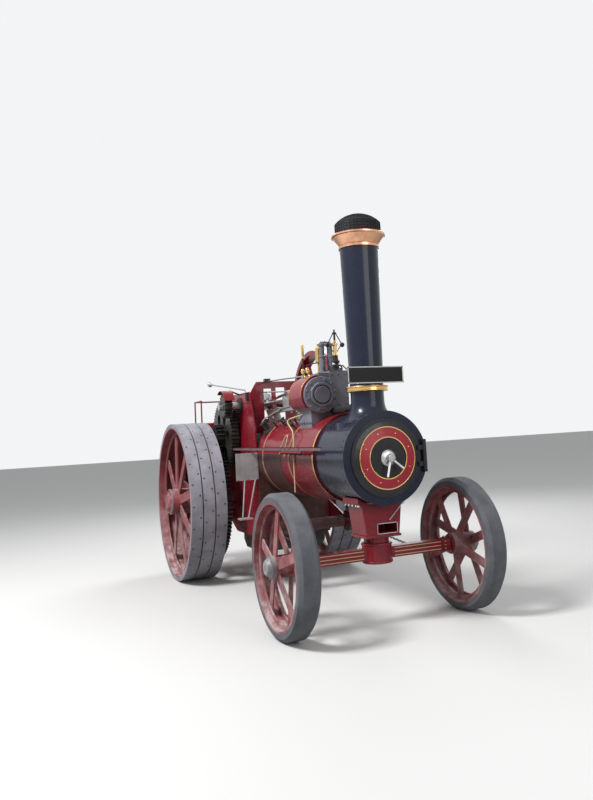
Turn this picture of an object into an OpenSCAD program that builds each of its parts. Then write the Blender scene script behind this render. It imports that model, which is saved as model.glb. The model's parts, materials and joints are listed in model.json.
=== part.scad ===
// Steam traction engine, single cylinder, in millimetres
// Forward is +X, left is +Y, the ground is Z = 0

/* [Boiler] */
// Height of the boiler's centre line
boiler_z = 1421; // [1380:1:1460]
// Outside radius of the barrel's cladding
barrel_r = 410; // [395:1:415]
// Front face of the smokebox
smokebox_front_x = 2165; // [2140:1:2190]
// Joint of smokebox and barrel
smokebox_back_x = 1536; // [1500:1:1570]
// Outside radius of the smokebox
smokebox_r = 394; // [385:1:398]
// Wall of the smokebox
smokebox_wall = 12; // [8:1:20]
// Front plate of the firebox
throat_x = -60; // [-80:1:-40]
// Back plate of the firebox
backhead_x = -890; // [-895:1:-870]
// Underside of the firebox
firebox_z = 560; // [520:1:600]
// Half width of the firebox
firebox_half = 404; // [395:1:410]
// Thickness of the back head casting
backhead_t = 160; // [120:1:200]
// Radius of the fire hole
firehole_r = 150; // [120:1:170]
// Height of the fire hole's centre
firehole_z = 1290; // [1260:1:1320]

/* [Smokebox door] */
// Radius of the door
door_r = 330; // [315:1:335]
// Thickness of the door plate
door_t = 12; // [8:1:16]
// Rise of the dished door at its centre
door_dish = 34; // [20:1:45]
// Outer radius of the red ring on the door
door_ring_r = 262; // [240:1:280]
// Inner radius of the red ring on the door
door_ring_bore_r = 175; // [150:1:190]
// Sideways place of the door's hinge pin
door_hinge_y = 364; // [360:1:368]

/* [Chimney] */
// Chimney centre line
chimney_x = 1881; // [1860:1:1900]
// Radius at the foot of the tube
chimney_foot_r = 149; // [140:1:158]
// Radius at the top of the tube
chimney_top_r = 175; // [168:1:182]
// Foot of the tube
chimney_foot_z = 2040; // [2020:1:2060]
// Top of the tube
chimney_top_z = 3294; // [3200:1:3340]
// Height of the flared cap
cap_h = 130; // [110:1:150]
// Radius of the flared cap
cap_r = 245; // [225:1:260]
// Radius of the spark arrester
arrester_r = 205; // [190:1:215]
// Height of the spark arrester
arrester_h = 190; // [160:1:210]

/* [Front axle and wheels] */
// Front axle centre
front_axle_x = 1893; // [1870:1:1920]
// Front wheel radius over the tyre
front_r = 593; // [580:1:605]
// Front tyre width
front_w = 186; // [170:1:200]
// Outer face of the front tyre from the middle
front_face_y = 956; // [945:1:965]
// Front tyre thickness
front_tyre_t = 73; // [60:1:80]
// Spokes in each of a front wheel's two rows
front_spokes = 5; // [4:1:7]
// Radius of the front axle's stubs
front_stub_r = 40; // [35:1:45]
// Radius of the steering pin
king_r = 38; // [32:1:44]

/* [Rear axle and wheels] */
// Rear axle centre
rear_axle_x = -1343; // [-1360:1:-1330]
// Rear wheel radius over the hoops
rear_r = 930; // [920:1:940]
// Rear wheel width
rear_w = 403; // [395:1:410]
// Outer face of the rear wheel from the middle
rear_face_y = 1069; // [1066:1:1075]
// Thickness of the rear hoops
hoop_t = 45; // [38:1:50]
// Groove between two hoops
hoop_gap = 15; // [10:1:20]
// Spokes in each of a rear wheel's two rows
rear_spokes = 8; // [6:1:9]
// Radius of the rear axle
rear_axle_r = 70; // [62:1:76]

/* [Gears] */
// Crankshaft place along the engine
crank_x = -585; // [-600:1:-570]
// Crankshaft height
crank_z = 2020; // [2010:1:2030]
// Tooth module of the first gear pair
fast_module = 14; // [14:1:14]
// Teeth of the crankshaft pinion
crank_pinion_n = 18; // [17:1:19]
// Teeth of the second shaft's large gear
second_gear_n = 57; // [56:1:58]
// Tooth module of the final gear pair
slow_module = 16; // [16:1:16]
// Teeth of the second shaft's pinion
second_pinion_n = 16; // [16:1:17]
// Teeth of the final gear
final_gear_n = 88; // [88:4:88]
// Face width of the gears
gear_w = 90; // [80:1:94]

/* [Engine] */
// Cylinder centre line, sideways
cylinder_y = -200; // [-205:1:-195]
// Back face of the cylinder block
cylinder_back_x = 930; // [920:1:940]
// Front face of the cylinder block
cylinder_front_x = 1290; // [1280:1:1300]
// Crank throw
throw_r = 120; // [110:1:124]
// Connecting rod length between centres
rod_l = 940; // [920:1:960]
// Throw of the two eccentrics
eccentric_r = 40; // [34:1:44]
// Flywheel radius
flywheel_r = 640; // [620:1:650]
// Flywheel rim width
flywheel_w = 150; // [130:1:155]
// Inner face of the flywheel
flywheel_y = 495; // [492:1:498]
// Radius of the crankshaft
crank_r = 45; // [40:1:50]

/* [Horn plates] */
// Thickness of the horn plates
horn_t = 16; // [12:1:20]

/* [Tender] */
// Half width of the tender
tender_half = 530; // [520:1:535]
// Front of the tender
tender_front_x = -1540; // [-1560:1:-1530]
// Back of the tender
tender_back_x = -2330; // [-2345:1:-2300]
// Reach of the drawbar behind the tender
drawbar_reach = 156; // [130:1:170]
// Height of the footplate's top
footplate_z = 1100; // [1080:1:1120]
// Top of the coal bunker
bunker_z = 2060; // [2000:1:2100]
// Thickness of the tender's sheets
sheet_t = 12; // [8:1:16]

/* [Steering] */
// Steering barrel place along the engine
barrel_x = 330; // [300:1:350]
// Steering barrel height
steer_z = 700; // [690:1:720]
// Radius of the steering barrel
steer_r = 60; // [54:1:66]
// Sideways place of the chain eyes on the axle
chain_y = 420; // [400:1:430]
// Sideways place of the steering column
column_y = 459; // [456:1:462]
// Slope of the steering column in degrees
column_tilt = 26; // [25:0.5:27]
// Length of the steering column
column_l = 2000; // [1960:1:2030]
// Radius of the hand wheel
hand_wheel_r = 185; // [170:1:195]

/* [Hidden] */
$fn = 64;

// Running clearance of shafts in their bores
run = 0.05;
// Gap between pieces that move past each other
gap = 0.3;
// Room to pass between moving pieces
pass = 8;

// Derived places of wheels
front_mid_y = front_face_y - front_w / 2;
rear_mid_y = rear_face_y - rear_w / 2;
front_rim_r = front_r - front_tyre_t;
rear_rim_r = rear_r - hoop_t;
front_inner_y = front_face_y - front_w;
rear_inner_y = rear_face_y - rear_w;
front_hub_r = 92;
front_hub_in_y = front_inner_y - 20;
front_hub_out_y = front_face_y + 34;
rear_hub_r = 150;
rear_hub_in_y = rear_inner_y - 8;
rear_hub_out_y = rear_face_y + 45;
cap_len = 36;

// Derived places of the gear train, between the right horn plate and wheel
horn_out_y = firebox_half + horn_t;
inner_gear_y = -horn_out_y - 24 - gear_w;
outer_gear_y = inner_gear_y - pass - gear_w;
crank_pinion_r = fast_module * crank_pinion_n / 2;
second_gear_r = fast_module * second_gear_n / 2;
second_pinion_r = slow_module * second_pinion_n / 2;
final_gear_r = slow_module * final_gear_n / 2;
span_crank = crank_pinion_r + second_gear_r;
span_axle = second_pinion_r + final_gear_r;
axle_to_crank = norm([crank_x - rear_axle_x, crank_z - rear_r]);
train_angle = atan2(crank_z - rear_r, crank_x - rear_axle_x);
along = (span_axle * span_axle - span_crank * span_crank + axle_to_crank * axle_to_crank)
    / (2 * axle_to_crank);
aside = sqrt(span_axle * span_axle - along * along);
second_x = rear_axle_x + along * cos(train_angle) - aside * sin(train_angle);
second_z = rear_r + along * sin(train_angle) + aside * cos(train_angle);
final_angle = atan2(second_z - rear_r, second_x - rear_axle_x);
fast_angle = atan2(crank_z - second_z, crank_x - second_x);
second_shaft_r = 48;

// Derived places of the motion
crank_pin_r = 42;
web_t = 40;
rod_w = 64;
rod_eye_w = 36;
guide_gap = rod_eye_w + 2 * pass;
guide_w = 34;
guide_z = crank_z - 75;
guide_h = 40;
guide_back_x = crank_x + 470;
crosshead_x = crank_x + throw_r + rod_l;
pin_x = crank_x + throw_r;
sheave_r = 90;
sheave_w = 28;
strap_r = 114;
eccentric_ys = [-78, -18];
eccentric_angles = [112, -112];
link_x = crank_x + 690;
link_half = 96;
valve_y = (eccentric_ys[0] + eccentric_ys[1]) / 2;

// Derived places of the steering gear
worm_wheel_r = 110;
worm_r = 30;
column_r = 18;
worm_x = barrel_x + (worm_wheel_r + worm_r) * sin(column_tilt);
worm_z = steer_z + (worm_wheel_r + worm_r) * cos(column_tilt);

// A bar along X, from x for length l, with its centre line at y and z
module bar_x(x, l, y, z, r) {
    translate([x, y, z]) rotate([0, 90, 0]) cylinder(h = l, r = r);
}

// A bar along Y, from y for length l, with its centre line at x and z
module bar_y(x, y, l, z, r) {
    translate([x, y, z]) rotate([-90, 0, 0]) cylinder(h = l, r = r);
}

// A plate in the XZ plane whose outline is its child, from y for thickness t
module plate_y(y, t) {
    translate([0, y + t, 0]) rotate([90, 0, 0]) linear_extrude(t) children();
}

// A plate in the YZ plane whose outline is its child, from x for thickness t
module plate_x(x, t) {
    translate([x, 0, 0]) rotate([90, 0, 90]) linear_extrude(t) children();
}

// A box from its lowest to its highest corner
module box(low, high) {
    translate(low) cube(high - low);
}

// A round rod from one point to another
module rod(a, b, r) {
    d = b - a;
    translate(a) rotate([0, acos(d[2] / norm(d)), atan2(d[1], d[0])]) cylinder(h = norm(d), r = r);
}

// A turned piece along X, its outline given as radius and distance
module turned_x(x, y, z) {
    translate([x, y, z]) rotate([0, 90, 0]) rotate_extrude() children();
}

// A turned piece along Y, its outline given as radius and distance
module turned_y(x, y, z) {
    translate([x, y, z]) rotate([-90, 0, 0]) rotate_extrude() children();
}

// Points of one tooth: across in tooth pitches, outwards in modules
tooth = [[-0.30, -1.1], [-0.21, 0], [-0.11, 0.85], [0.11, 0.85], [0.21, 0], [0.30, -1.1]];
function gear_points(n, m, phase) = [
    for (i = [0 : n - 1], p = tooth)
        let (a = phase + (i + p[0]) * 360 / n, r = n * m / 2 + p[1] * m)
            [r * cos(a), r * sin(a)]
];

// A spur gear on a shaft along Y
module gear(x, z, y, n, m, phase, bore_r) {
    plate_y(y, gear_w) translate([x, z]) difference() {
        polygon(gear_points(n, m, phase));
        circle(r = bore_r);
    }
}

// SMOKEBOX AND CHIMNEY

tube_pitch = 74;
tube_r = 25;
tubeplate_t = 20;
hinge_x = smokebox_front_x + 30;
hinge_half = 140;
hinge_r = 10;
knuckle_r = 17;
knuckle_end = 32;

module tube_plate() {
    color("dimgray") difference() {
        bar_x(smokebox_back_x, tubeplate_t, 0, boiler_z, smokebox_r - smokebox_wall);
        for (row = [-3 : 2], col = [-3 : 3])
            if (norm([row + 0.5, col]) < 3.9)
                bar_x(smokebox_back_x + 8, tubeplate_t, col * tube_pitch,
                    boiler_z + (row + 0.5) * tube_pitch, tube_r);
    }
}

module door_hinge() {
    translate([hinge_x, door_hinge_y, boiler_z - hinge_half])
        cylinder(h = 2 * hinge_half, r = hinge_r);
    for (z = [boiler_z - hinge_half, boiler_z + hinge_half - knuckle_end]) {
        translate([hinge_x, door_hinge_y, z]) cylinder(h = knuckle_end, r = knuckle_r);
        box([smokebox_front_x - 10, door_hinge_y - knuckle_r, z],
            [hinge_x, door_hinge_y + knuckle_r, z + knuckle_end]);
    }
}

module smokebox() {
    color("midnightblue") {
        door_hinge();
        turned_x(smokebox_back_x, 0, boiler_z) polygon([
            [smokebox_r - smokebox_wall, 0],
            [smokebox_r, 0],
            [smokebox_r, smokebox_front_x - smokebox_back_x - 40],
            [smokebox_r + 8, smokebox_front_x - smokebox_back_x - 40],
            [smokebox_r + 8, smokebox_front_x - smokebox_back_x],
            [door_r - 16, smokebox_front_x - smokebox_back_x],
            [door_r - 16, smokebox_front_x - smokebox_back_x - 20],
            [smokebox_r - smokebox_wall, smokebox_front_x - smokebox_back_x - 20]
        ]);
    }
}

module smokebox_door() {
    color("black") {
        difference() {
            turned_x(smokebox_front_x + gap, 0, boiler_z) polygon([
                [0, door_dish - door_t], [door_ring_bore_r, door_dish - door_t],
                [door_r - 30, 0], [door_r, 0], [door_r, 14], [door_r - 26, 14],
                [door_ring_bore_r, door_dish], [0, door_dish]
            ]);
            bar_x(smokebox_front_x, 80, 0, boiler_z, 20);
        }
        difference() {
            union() {
                for (z = [boiler_z - 90, boiler_z + 50])
                    box([smokebox_front_x + 10, door_hinge_y - 62, z],
                        [hinge_x, door_hinge_y, z + 40]);
                translate([hinge_x, door_hinge_y, boiler_z - hinge_half + knuckle_end + 1])
                    cylinder(h = 2 * (hinge_half - knuckle_end - 1), r = knuckle_r);
            }
            translate([hinge_x, door_hinge_y, boiler_z - hinge_half])
                cylinder(h = 2 * hinge_half, r = hinge_r + run);
        }
    }
}

module door_ring() {
    color("firebrick") turned_x(smokebox_front_x + gap, 0, boiler_z) {
        slope = (door_dish - 14) / (door_r - 26 - door_ring_bore_r);
        polygon([
            [door_ring_bore_r, door_dish], [door_ring_bore_r, door_dish + 10],
            [door_ring_r, door_dish + 10 - slope * (door_ring_r - door_ring_bore_r)],
            [door_ring_r, door_dish - slope * (door_ring_r - door_ring_bore_r)]
        ]);
    }
}

// Handles of the door's dart: angle from +Y, length
dart_handles = [[252, 165], [-42, 140]];

module door_dart() {
    front = smokebox_front_x + gap + door_dish;
    color("silver") {
        bar_x(smokebox_front_x - 60, 60 + gap + door_dish, 0, boiler_z, 20);
        turned_x(front, 0, boiler_z)
            polygon([[0, 0], [70, 0], [70, 12], [56, 26], [34, 30], [34, 74], [26, 82], [0, 82]]);
        for (h = dart_handles)
            rod([front + 50, 0, boiler_z],
                [front + 74, h[1] * cos(h[0]), boiler_z + h[1] * sin(h[0])], 11);
    }
}

base_top_z = chimney_foot_z - 30;
base_skirt_r = 300;

module chimney_base() {
    color("midnightblue") difference() {
        translate([chimney_x, 0, 0]) union() {
            translate([0, 0, boiler_z]) cylinder(h = base_top_z - boiler_z, r = chimney_foot_r);
            translate([0, 0, boiler_z + 180]) rotate_extrude() difference() {
                translate([100, 0]) square([base_skirt_r - 100, 310]);
                translate([base_skirt_r + 28, 310]) circle(r = 178);
            }
        }
        bar_x(smokebox_back_x - 100, 1000, 0, boiler_z, smokebox_r + gap);
    }
}

module chimney_band() {
    color("goldenrod") translate([chimney_x, 0, base_top_z]) rotate_extrude()
        polygon([[0, 0], [191, 0], [191, 20], [180, 30], [chimney_foot_r + 12, 30], [0, 30]]);
}

module chimney_tube() {
    translate([chimney_x, 0, chimney_foot_z])
        cylinder(h = chimney_top_z - chimney_foot_z, r1 = chimney_foot_r, r2 = chimney_top_r);
}

module chimney_barrel() {
    color("midnightblue") chimney_tube();
}

module chimney_cap() {
    color("peru") translate([chimney_x, 0, chimney_top_z]) rotate_extrude() difference() {
        polygon([
            [0, 0], [chimney_top_r + 10, 0], [chimney_top_r + 10, 22], [chimney_top_r + 2, 30],
            [cap_r - 12, cap_h - 26], [cap_r, cap_h - 20], [cap_r, cap_h - 6],
            [cap_r - 8, cap_h], [chimney_top_r + 20, cap_h], [chimney_top_r, cap_h - 14], [0, cap_h - 14]
        ]);
        translate([cap_r + 50, 40]) circle(r = 72);
    }
}

dome_rise = 90;
dome_bend_r = (dome_rise * dome_rise + arrester_r * arrester_r) / (2 * dome_rise);

module spark_arrester() {
    color("dimgray") translate([chimney_x, 0, chimney_top_z + cap_h]) rotate_extrude() union() {
        square([arrester_r, arrester_h - dome_rise]);
        intersection() {
            translate([0, arrester_h - dome_bend_r]) circle(r = dome_bend_r);
            translate([0, arrester_h - dome_rise]) square([arrester_r, dome_rise]);
        }
    }
}

plate_half = 270;
plate_z = 2065;
plate_h = 146;
plate_x0 = 2062;

module number_plate() {
    color("dimgray") {
        box([plate_x0, -plate_half, plate_z], [plate_x0 + 10, plate_half, plate_z + plate_h]);
        difference() {
            for (y = [-70, 70])
                box([chimney_x + chimney_foot_r - 20, y - 15, plate_z + 10],
                    [plate_x0, y + 15, plate_z + 22]);
            chimney_tube();
        }
    }
}

// BOILER AND FIREBOX

module boiler_barrel() {
    color("firebrick") bar_x(throat_x, smokebox_back_x - throat_x, 0, boiler_z, barrel_r);
}

// Bands round the barrel: place, width
bands = [[1510, 26], [898, 32], [118, 30]];

module boiler_bands() {
    color("khaki") for (b = bands)
        turned_x(b[0], 0, boiler_z)
            polygon([[barrel_r, 0], [barrel_r + 3, 0], [barrel_r + 3, b[1]], [barrel_r, b[1]]]);
}

module firebox_outline() {
    translate([0, boiler_z]) circle(r = firebox_half);
    translate([-firebox_half, firebox_z]) square([2 * firebox_half, boiler_z - firebox_z]);
}

module firebox() {
    color("maroon")
        plate_x(backhead_x + backhead_t, throat_x - backhead_x - backhead_t) firebox_outline();
}

fire_door_y = -200;
fire_door_t = 16;
fire_pin_x = backhead_x - 24;
fire_pin_r = 9;
fire_lug_z = 122;

module backhead() {
    color("maroon") {
        difference() {
            plate_x(backhead_x, backhead_t) firebox_outline();
            bar_x(backhead_x - 1, backhead_t - 20, 0, firehole_z, firehole_r);
        }
        for (z = [firehole_z - fire_lug_z - 24, firehole_z + fire_lug_z]) {
            translate([fire_pin_x, fire_door_y, z]) cylinder(h = 24, r = 16);
            box([fire_pin_x, fire_door_y - 16, z], [backhead_x + 1, fire_door_y + 16, z + 24]);
        }
        translate([fire_pin_x, fire_door_y, firehole_z - fire_lug_z - 1])
            cylinder(h = 2 * fire_lug_z + 2, r = fire_pin_r);
    }
}

module fire_door() {
    color("dimgray") difference() {
        union() {
            box([backhead_x - gap - fire_door_t, fire_door_y + 26, firehole_z - 165],
                [backhead_x - gap, 172, firehole_z + 165]);
            translate([fire_pin_x, fire_door_y, firehole_z - fire_lug_z + 1])
                cylinder(h = 2 * fire_lug_z - 2, r = 16);
            box([fire_pin_x - 5, fire_door_y, firehole_z - fire_lug_z + 10],
                [fire_pin_x + 14, fire_door_y + 30, firehole_z + fire_lug_z - 10]);
            bar_x(backhead_x - 90, 80, 130, firehole_z, 10);
        }
        translate([fire_pin_x, fire_door_y, firehole_z - 200]) cylinder(h = 400, r = fire_pin_r + run);
    }
}

ashpan_z = 390;

module ashpan() {
    color("black") plate_y(-360, 720) polygon([
        [throat_x - 40, firebox_z], [throat_x - 40, 470], [throat_x - 140, ashpan_z],
        [backhead_x + 160, ashpan_z], [backhead_x + 60, 470], [backhead_x + 60, firebox_z]
    ]);
}

// Outline of the horn plates, along the engine and up
horn_outline = [
    [-241, 2160], [-66, 1729], [-66, firebox_z], [backhead_x, firebox_z], [-1210, 700], [tender_front_x, 730],
    [tender_front_x, 1080], [-1480, 1180], [-1240, 1330], [-1180, 1640], [-1090, 1840], [-930, 2000], [-860, 2160]
];

module horn_plate(y) {
    color("firebrick") difference() {
        plate_y(y, horn_t) polygon(horn_outline);
        bar_y(rear_axle_x, y - 1, horn_t + 2, rear_r, 110);
        bar_y(crank_x, y - 1, horn_t + 2, crank_z, 80);
        bar_y(second_x, y - 1, horn_t + 2, second_z, 70);
    }
}

module horn_plate_right() { horn_plate(-horn_out_y); }
module horn_plate_left() { horn_plate(firebox_half); }

cross_x = -236;
cross_t = 12;

module cross_plate() {
    color("firebrick") difference() {
        plate_x(cross_x, cross_t) difference() {
            polygon([
                [-firebox_half, 1690], [firebox_half, 1690], [firebox_half, 2150],
                [330, 2270], [-330, 2270], [-firebox_half, 2150]
            ]);
            translate([0, boiler_z]) circle(r = firebox_half + gap);
        }
        box([cross_x - 1, cylinder_y - 46, crank_z - 170],
            [cross_x + cross_t + 1, cylinder_y + 46, crank_z + 170]);
        box([cross_x - 1, eccentric_ys[0] - 24, crank_z - 180],
            [cross_x + cross_t + 1, eccentric_ys[1] + 24, crank_z + 180]);
    }
}

// A flanged bearing through a horn plate on side s
module horn_bearing(x, z, s, hole_r, bore_r, flange_r, out) {
    translate([x, 0, z]) rotate([-90, 0, 0]) difference() {
        translate([0, 0, s > 0 ? firebox_half - 30 : -horn_out_y - out]) union() {
            cylinder(h = horn_t + 30 + out, r = hole_r);
            translate([0, 0, s > 0 ? 30 + horn_t : 0]) cylinder(h = out, r = flange_r);
            translate([0, 0, s > 0 ? 0 : out + horn_t]) cylinder(h = 30, r = flange_r);
        }
        translate([0, 0, -700]) cylinder(h = 1400, r = bore_r);
    }
}

module bearings() {
    color("dimgray") for (s = [-1, 1]) {
        horn_bearing(crank_x, crank_z, s, 80, crank_r + run, 96, 16);
        horn_bearing(second_x, second_z, s, 70, second_shaft_r + run, 84, 16);
        horn_bearing(rear_axle_x, rear_r, s, 110, rear_axle_r + run, 140, 16);
    }
}

// CYLINDER AND ITS FITTINGS

cylinder_r = 170;
chest_low_z = crank_z - 230;
chest_top_z = crank_z + 230;
chest_left_y = 105;
chest_right_y = -90;

module cylinder_block() {
    color("dimgray") difference() {
        union() {
            bar_x(cylinder_back_x, cylinder_front_x - cylinder_back_x, cylinder_y, crank_z, cylinder_r);
            box([cylinder_back_x + 10, chest_right_y, chest_low_z],
                [cylinder_front_x - 10, chest_left_y, chest_top_z]);
            box([cylinder_back_x + 20, cylinder_y, crank_z],
                [cylinder_front_x - 20, chest_right_y + 10, chest_top_z - 20]);
            plate_x(cylinder_back_x + 30, cylinder_front_x - cylinder_back_x - 60)
                polygon([[-290, 1690], [-290, 1885], [180, 1885], [180, 1740]]);
        }
        bar_x(cylinder_back_x - 50, cylinder_front_x - cylinder_back_x + 100, 0, boiler_z, barrel_r + gap);
    }
}

module cylinder_cladding() {
    color("firebrick") intersection() {
        turned_x(cylinder_back_x + 12, cylinder_y, crank_z) polygon([
            [cylinder_r, 0], [cylinder_r + 20, 0],
            [cylinder_r + 20, cylinder_front_x - cylinder_back_x - 24],
            [cylinder_r, cylinder_front_x - cylinder_back_x - 24]
        ]);
        box([cylinder_back_x, cylinder_y - 300, 1901], [cylinder_front_x, cylinder_y - 8, 2400]);
    }
}

module cylinder_cover() {
    color("slategray") {
        turned_x(cylinder_front_x, cylinder_y, crank_z) polygon([
            [0, 0], [178, 0], [178, 26], [150, 30], [146, 42], [60, 42], [56, 60], [38, 66], [0, 66]
        ]);
        turned_x(cylinder_back_x - 30, cylinder_y, crank_z)
            polygon([[22 + run, 0], [108, 0], [130, 30], [22 + run, 30]]);
    }
}

valve_x = 1030;

module safety_valves() {
    color("goldenrod") {
        for (x = [valve_x - 60, valve_x + 60])
            translate([x, 10, chest_top_z]) rotate_extrude() polygon([
                [0, 0], [44, 0], [44, 14], [28, 24], [26, 170], [38, 182], [38, 210], [14, 226], [0, 226]
            ]);
        box([valve_x - 100, 0, chest_top_z + 226], [valve_x + 100, 20, chest_top_z + 244]);
        for (x = [valve_x - 90, valve_x + 90])
            translate([x, 10, chest_top_z]) cylinder(h = 260, r = 7);
    }
}

module whistle() {
    color("silver") translate([960, -62, chest_top_z]) rotate_extrude() polygon([
        [0, 0], [20, 0], [20, 12], [10, 18], [10, 110], [30, 116], [30, 134], [26, 138],
        [26, 250], [16, 264], [8, 268], [8, 300], [0, 304]
    ]);
}

governor_x = 1200;

module governor() {
    color("goldenrod") translate([governor_x, 20, chest_top_z]) {
        rotate_extrude() polygon([
            [0, 0], [60, 0], [60, 20], [34, 40], [30, 150], [44, 160], [44, 190], [16, 210],
            [14, 330], [24, 340], [24, 362], [12, 380], [12, 440], [0, 450]
        ]);
        for (s = [-1, 1]) {
            rod([0, 0, 350], [0, s * 96, 262], 7);
            translate([0, s * 96, 262]) sphere(r = 30);
            rod([0, 0, 200], [0, s * 96, 262], 6);
        }
    }
}

// MOTION

module guide_bars() {
    color("silver") {
        for (s = [-1, 1])
            box([guide_back_x, cylinder_y + s * (guide_gap + guide_w) / 2 - guide_w / 2, guide_z - guide_h],
                [cylinder_back_x - 30, cylinder_y + s * (guide_gap + guide_w) / 2 + guide_w / 2, guide_z]);
        box([cylinder_back_x - 110, cylinder_y - 70, guide_z - guide_h - 24],
            [cylinder_back_x - 30, cylinder_y + 70, guide_z - guide_h]);
    }
    color("dimgray") difference() {
        plate_x(throat_x + gap, 50) difference() {
            polygon([
                [cylinder_y - 90, 1700], [cylinder_y - 60, guide_z - guide_h],
                [cylinder_y + 60, guide_z - guide_h], [cylinder_y + 110, 1700]
            ]);
            translate([cylinder_y - guide_gap / 2, crank_z - throw_r - 50])
                square([guide_gap, 400]);
        }
        bar_x(throat_x - 20, 200, 0, boiler_z, barrel_r + gap);
    }
}

cheek_gap = rod_eye_w + 2 * pass;
cheek_w = 28;

module crosshead() {
    color("silver") {
        difference() {
            box([crosshead_x - 80, cylinder_y - cheek_gap / 2 - cheek_w, guide_z],
                [crosshead_x + 110, cylinder_y + cheek_gap / 2 + cheek_w, crank_z + 45]);
            box([crosshead_x - 81, cylinder_y - cheek_gap / 2, guide_z - 1],
                [crosshead_x + 64, cylinder_y + cheek_gap / 2, crank_z + 46]);
        }
        for (s = [-1, 1])
            bar_y(crosshead_x, cylinder_y + s * (cheek_gap / 2 + cheek_w + 6) - 6, 12, crank_z, 30);
        bar_x(crosshead_x + 100, cylinder_back_x - crosshead_x - 100, cylinder_y, crank_z, 22);
    }
}

module connecting_rod() {
    color("silver") difference() {
        union() {
            bar_y(pin_x, cylinder_y - rod_w / 2, rod_w, crank_z, 60);
            bar_x(pin_x, rod_l, cylinder_y, crank_z, 20);
            bar_y(crosshead_x, cylinder_y - rod_eye_w / 2, rod_eye_w, crank_z, 42);
            box([pin_x - 10, cylinder_y - rod_w / 2, crank_z - 52],
                [pin_x + 92, cylinder_y + rod_w / 2, crank_z + 52]);
        }
        bar_y(pin_x, cylinder_y - rod_w, 2 * rod_w, crank_z, crank_pin_r + run);
        bar_y(crosshead_x, cylinder_y - rod_w, 2 * rod_w, crank_z, 22);
    }
}

// One eccentric's rod and strap; number i, its far eye at height z
module eccentric_rod(i, z) {
    x = crank_x + eccentric_r * cos(eccentric_angles[i]);
    h = crank_z + eccentric_r * sin(eccentric_angles[i]);
    y = eccentric_ys[i];
    color("silver") difference() {
        union() {
            bar_y(x, y - sheave_w / 2, sheave_w, h, strap_r);
            rod([x, y, h], [link_x, y, z], 16);
            bar_y(link_x, y - 12, 24, z, 26);
        }
        bar_y(x, y - 40, 80, h, sheave_r + run);
        bar_y(link_x, y - 40, 80, z, 12);
    }
}

module forward_eccentric_rod() { eccentric_rod(0, crank_z + link_half); }
module reverse_eccentric_rod() { eccentric_rod(1, crank_z - link_half); }

module valve_link() {
    color("silver") {
        plate_y(valve_y - 8, 16) translate([link_x - 700, crank_z]) difference() {
            intersection() {
                difference() {
                    circle(r = 722);
                    circle(r = 678);
                }
                translate([600, -130]) square([200, 260]);
            }
            intersection() {
                difference() {
                    circle(r = 710);
                    circle(r = 690);
                }
                translate([600, -80]) square([200, 160]);
            }
        }
        bar_x(link_x + 20, cylinder_back_x - link_x - 20, valve_y, crank_z, 16);
        difference() {
            plate_x(link_x + 260, 40) polygon([
                [valve_y - 60, 1780], [valve_y - 26, crank_z + 36], [valve_y + 26, crank_z + 36],
                [valve_y + 60, 1780]
            ]);
            bar_x(throat_x, 2000, 0, boiler_z, barrel_r + gap);
        }
    }
}

// The crank's webs, round at the pin and at the shaft
module crank_web(y) {
    plate_y(y, web_t) {
        translate([crank_x, crank_z]) circle(r = 60);
        translate([pin_x, crank_z]) circle(r = 48);
        translate([crank_x, crank_z - 48]) square([throw_r, 96]);
        translate([crank_x - 100, crank_z - 90]) square([100, 180]);
    }
}

crank_left_y = flywheel_y + flywheel_w + 10;
crank_right_y = -rear_inner_y - 10;

module crankshaft() {
    web_y = rod_w / 2 + 4;
    color("silver") {
        bar_y(crank_x, crank_right_y, cylinder_y - web_y - crank_right_y, crank_z, crank_r);
        bar_y(crank_x, cylinder_y + web_y, crank_left_y - cylinder_y - web_y, crank_z, crank_r);
        bar_y(pin_x, cylinder_y - web_y - 1, 2 * web_y + 2, crank_z, crank_pin_r);
        for (y = [cylinder_y - web_y - web_t, cylinder_y + web_y]) crank_web(y);
        for (i = [0, 1])
            bar_y(crank_x + eccentric_r * cos(eccentric_angles[i]), eccentric_ys[i] - sheave_w / 2,
                sheave_w, crank_z + eccentric_r * sin(eccentric_angles[i]), sheave_r);
    }
}

flywheel_spokes = 6;

module flywheel() {
    color("firebrick") difference() {
        translate([crank_x, flywheel_y + flywheel_w / 2, crank_z]) rotate([90, 0, 0]) union() {
            translate([0, 0, -flywheel_w / 2]) difference() {
                cylinder(h = flywheel_w, r = flywheel_r);
                translate([0, 0, -1]) cylinder(h = flywheel_w + 2, r = flywheel_r - 55);
            }
            for (i = [0 : flywheel_spokes - 1]) rotate([0, 0, i * 360 / flywheel_spokes])
                translate([60, -35, -22]) cube([flywheel_r - 100, 70, 44]);
            translate([0, 0, -flywheel_w / 2]) cylinder(h = flywheel_w, r = 110);
        }
        bar_y(crank_x, flywheel_y - 1, flywheel_w + 2, crank_z, crank_r);
    }
}

module crank_pinion() {
    color("dimgray") gear(crank_x, crank_z, outer_gear_y, crank_pinion_n, fast_module,
        fast_angle + 180 + 180 / crank_pinion_n, crank_r);
}

module second_shaft() {
    color("dimgray") {
        bar_y(second_x, outer_gear_y, firebox_half + horn_t + 30 - outer_gear_y, second_z, second_shaft_r);
        plate_y(inner_gear_y, gear_w) translate([second_x, second_z]) difference() {
            polygon(gear_points(second_gear_n, fast_module, fast_angle));
            for (i = [0 : 5]) rotate(i * 60) translate([0.56 * second_gear_r, 0]) circle(r = 66);
        }
        plate_y(outer_gear_y, gear_w + 1) translate([second_x, second_z])
            polygon(gear_points(second_pinion_n, slow_module, final_angle + 180 + 180 / second_pinion_n));
    }
}

module rear_axle() {
    color("silver")
        bar_y(rear_axle_x, -rear_hub_out_y + 6, 2 * rear_hub_out_y - 12, rear_r, rear_axle_r);
}

final_gear_spokes = 6;

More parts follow.
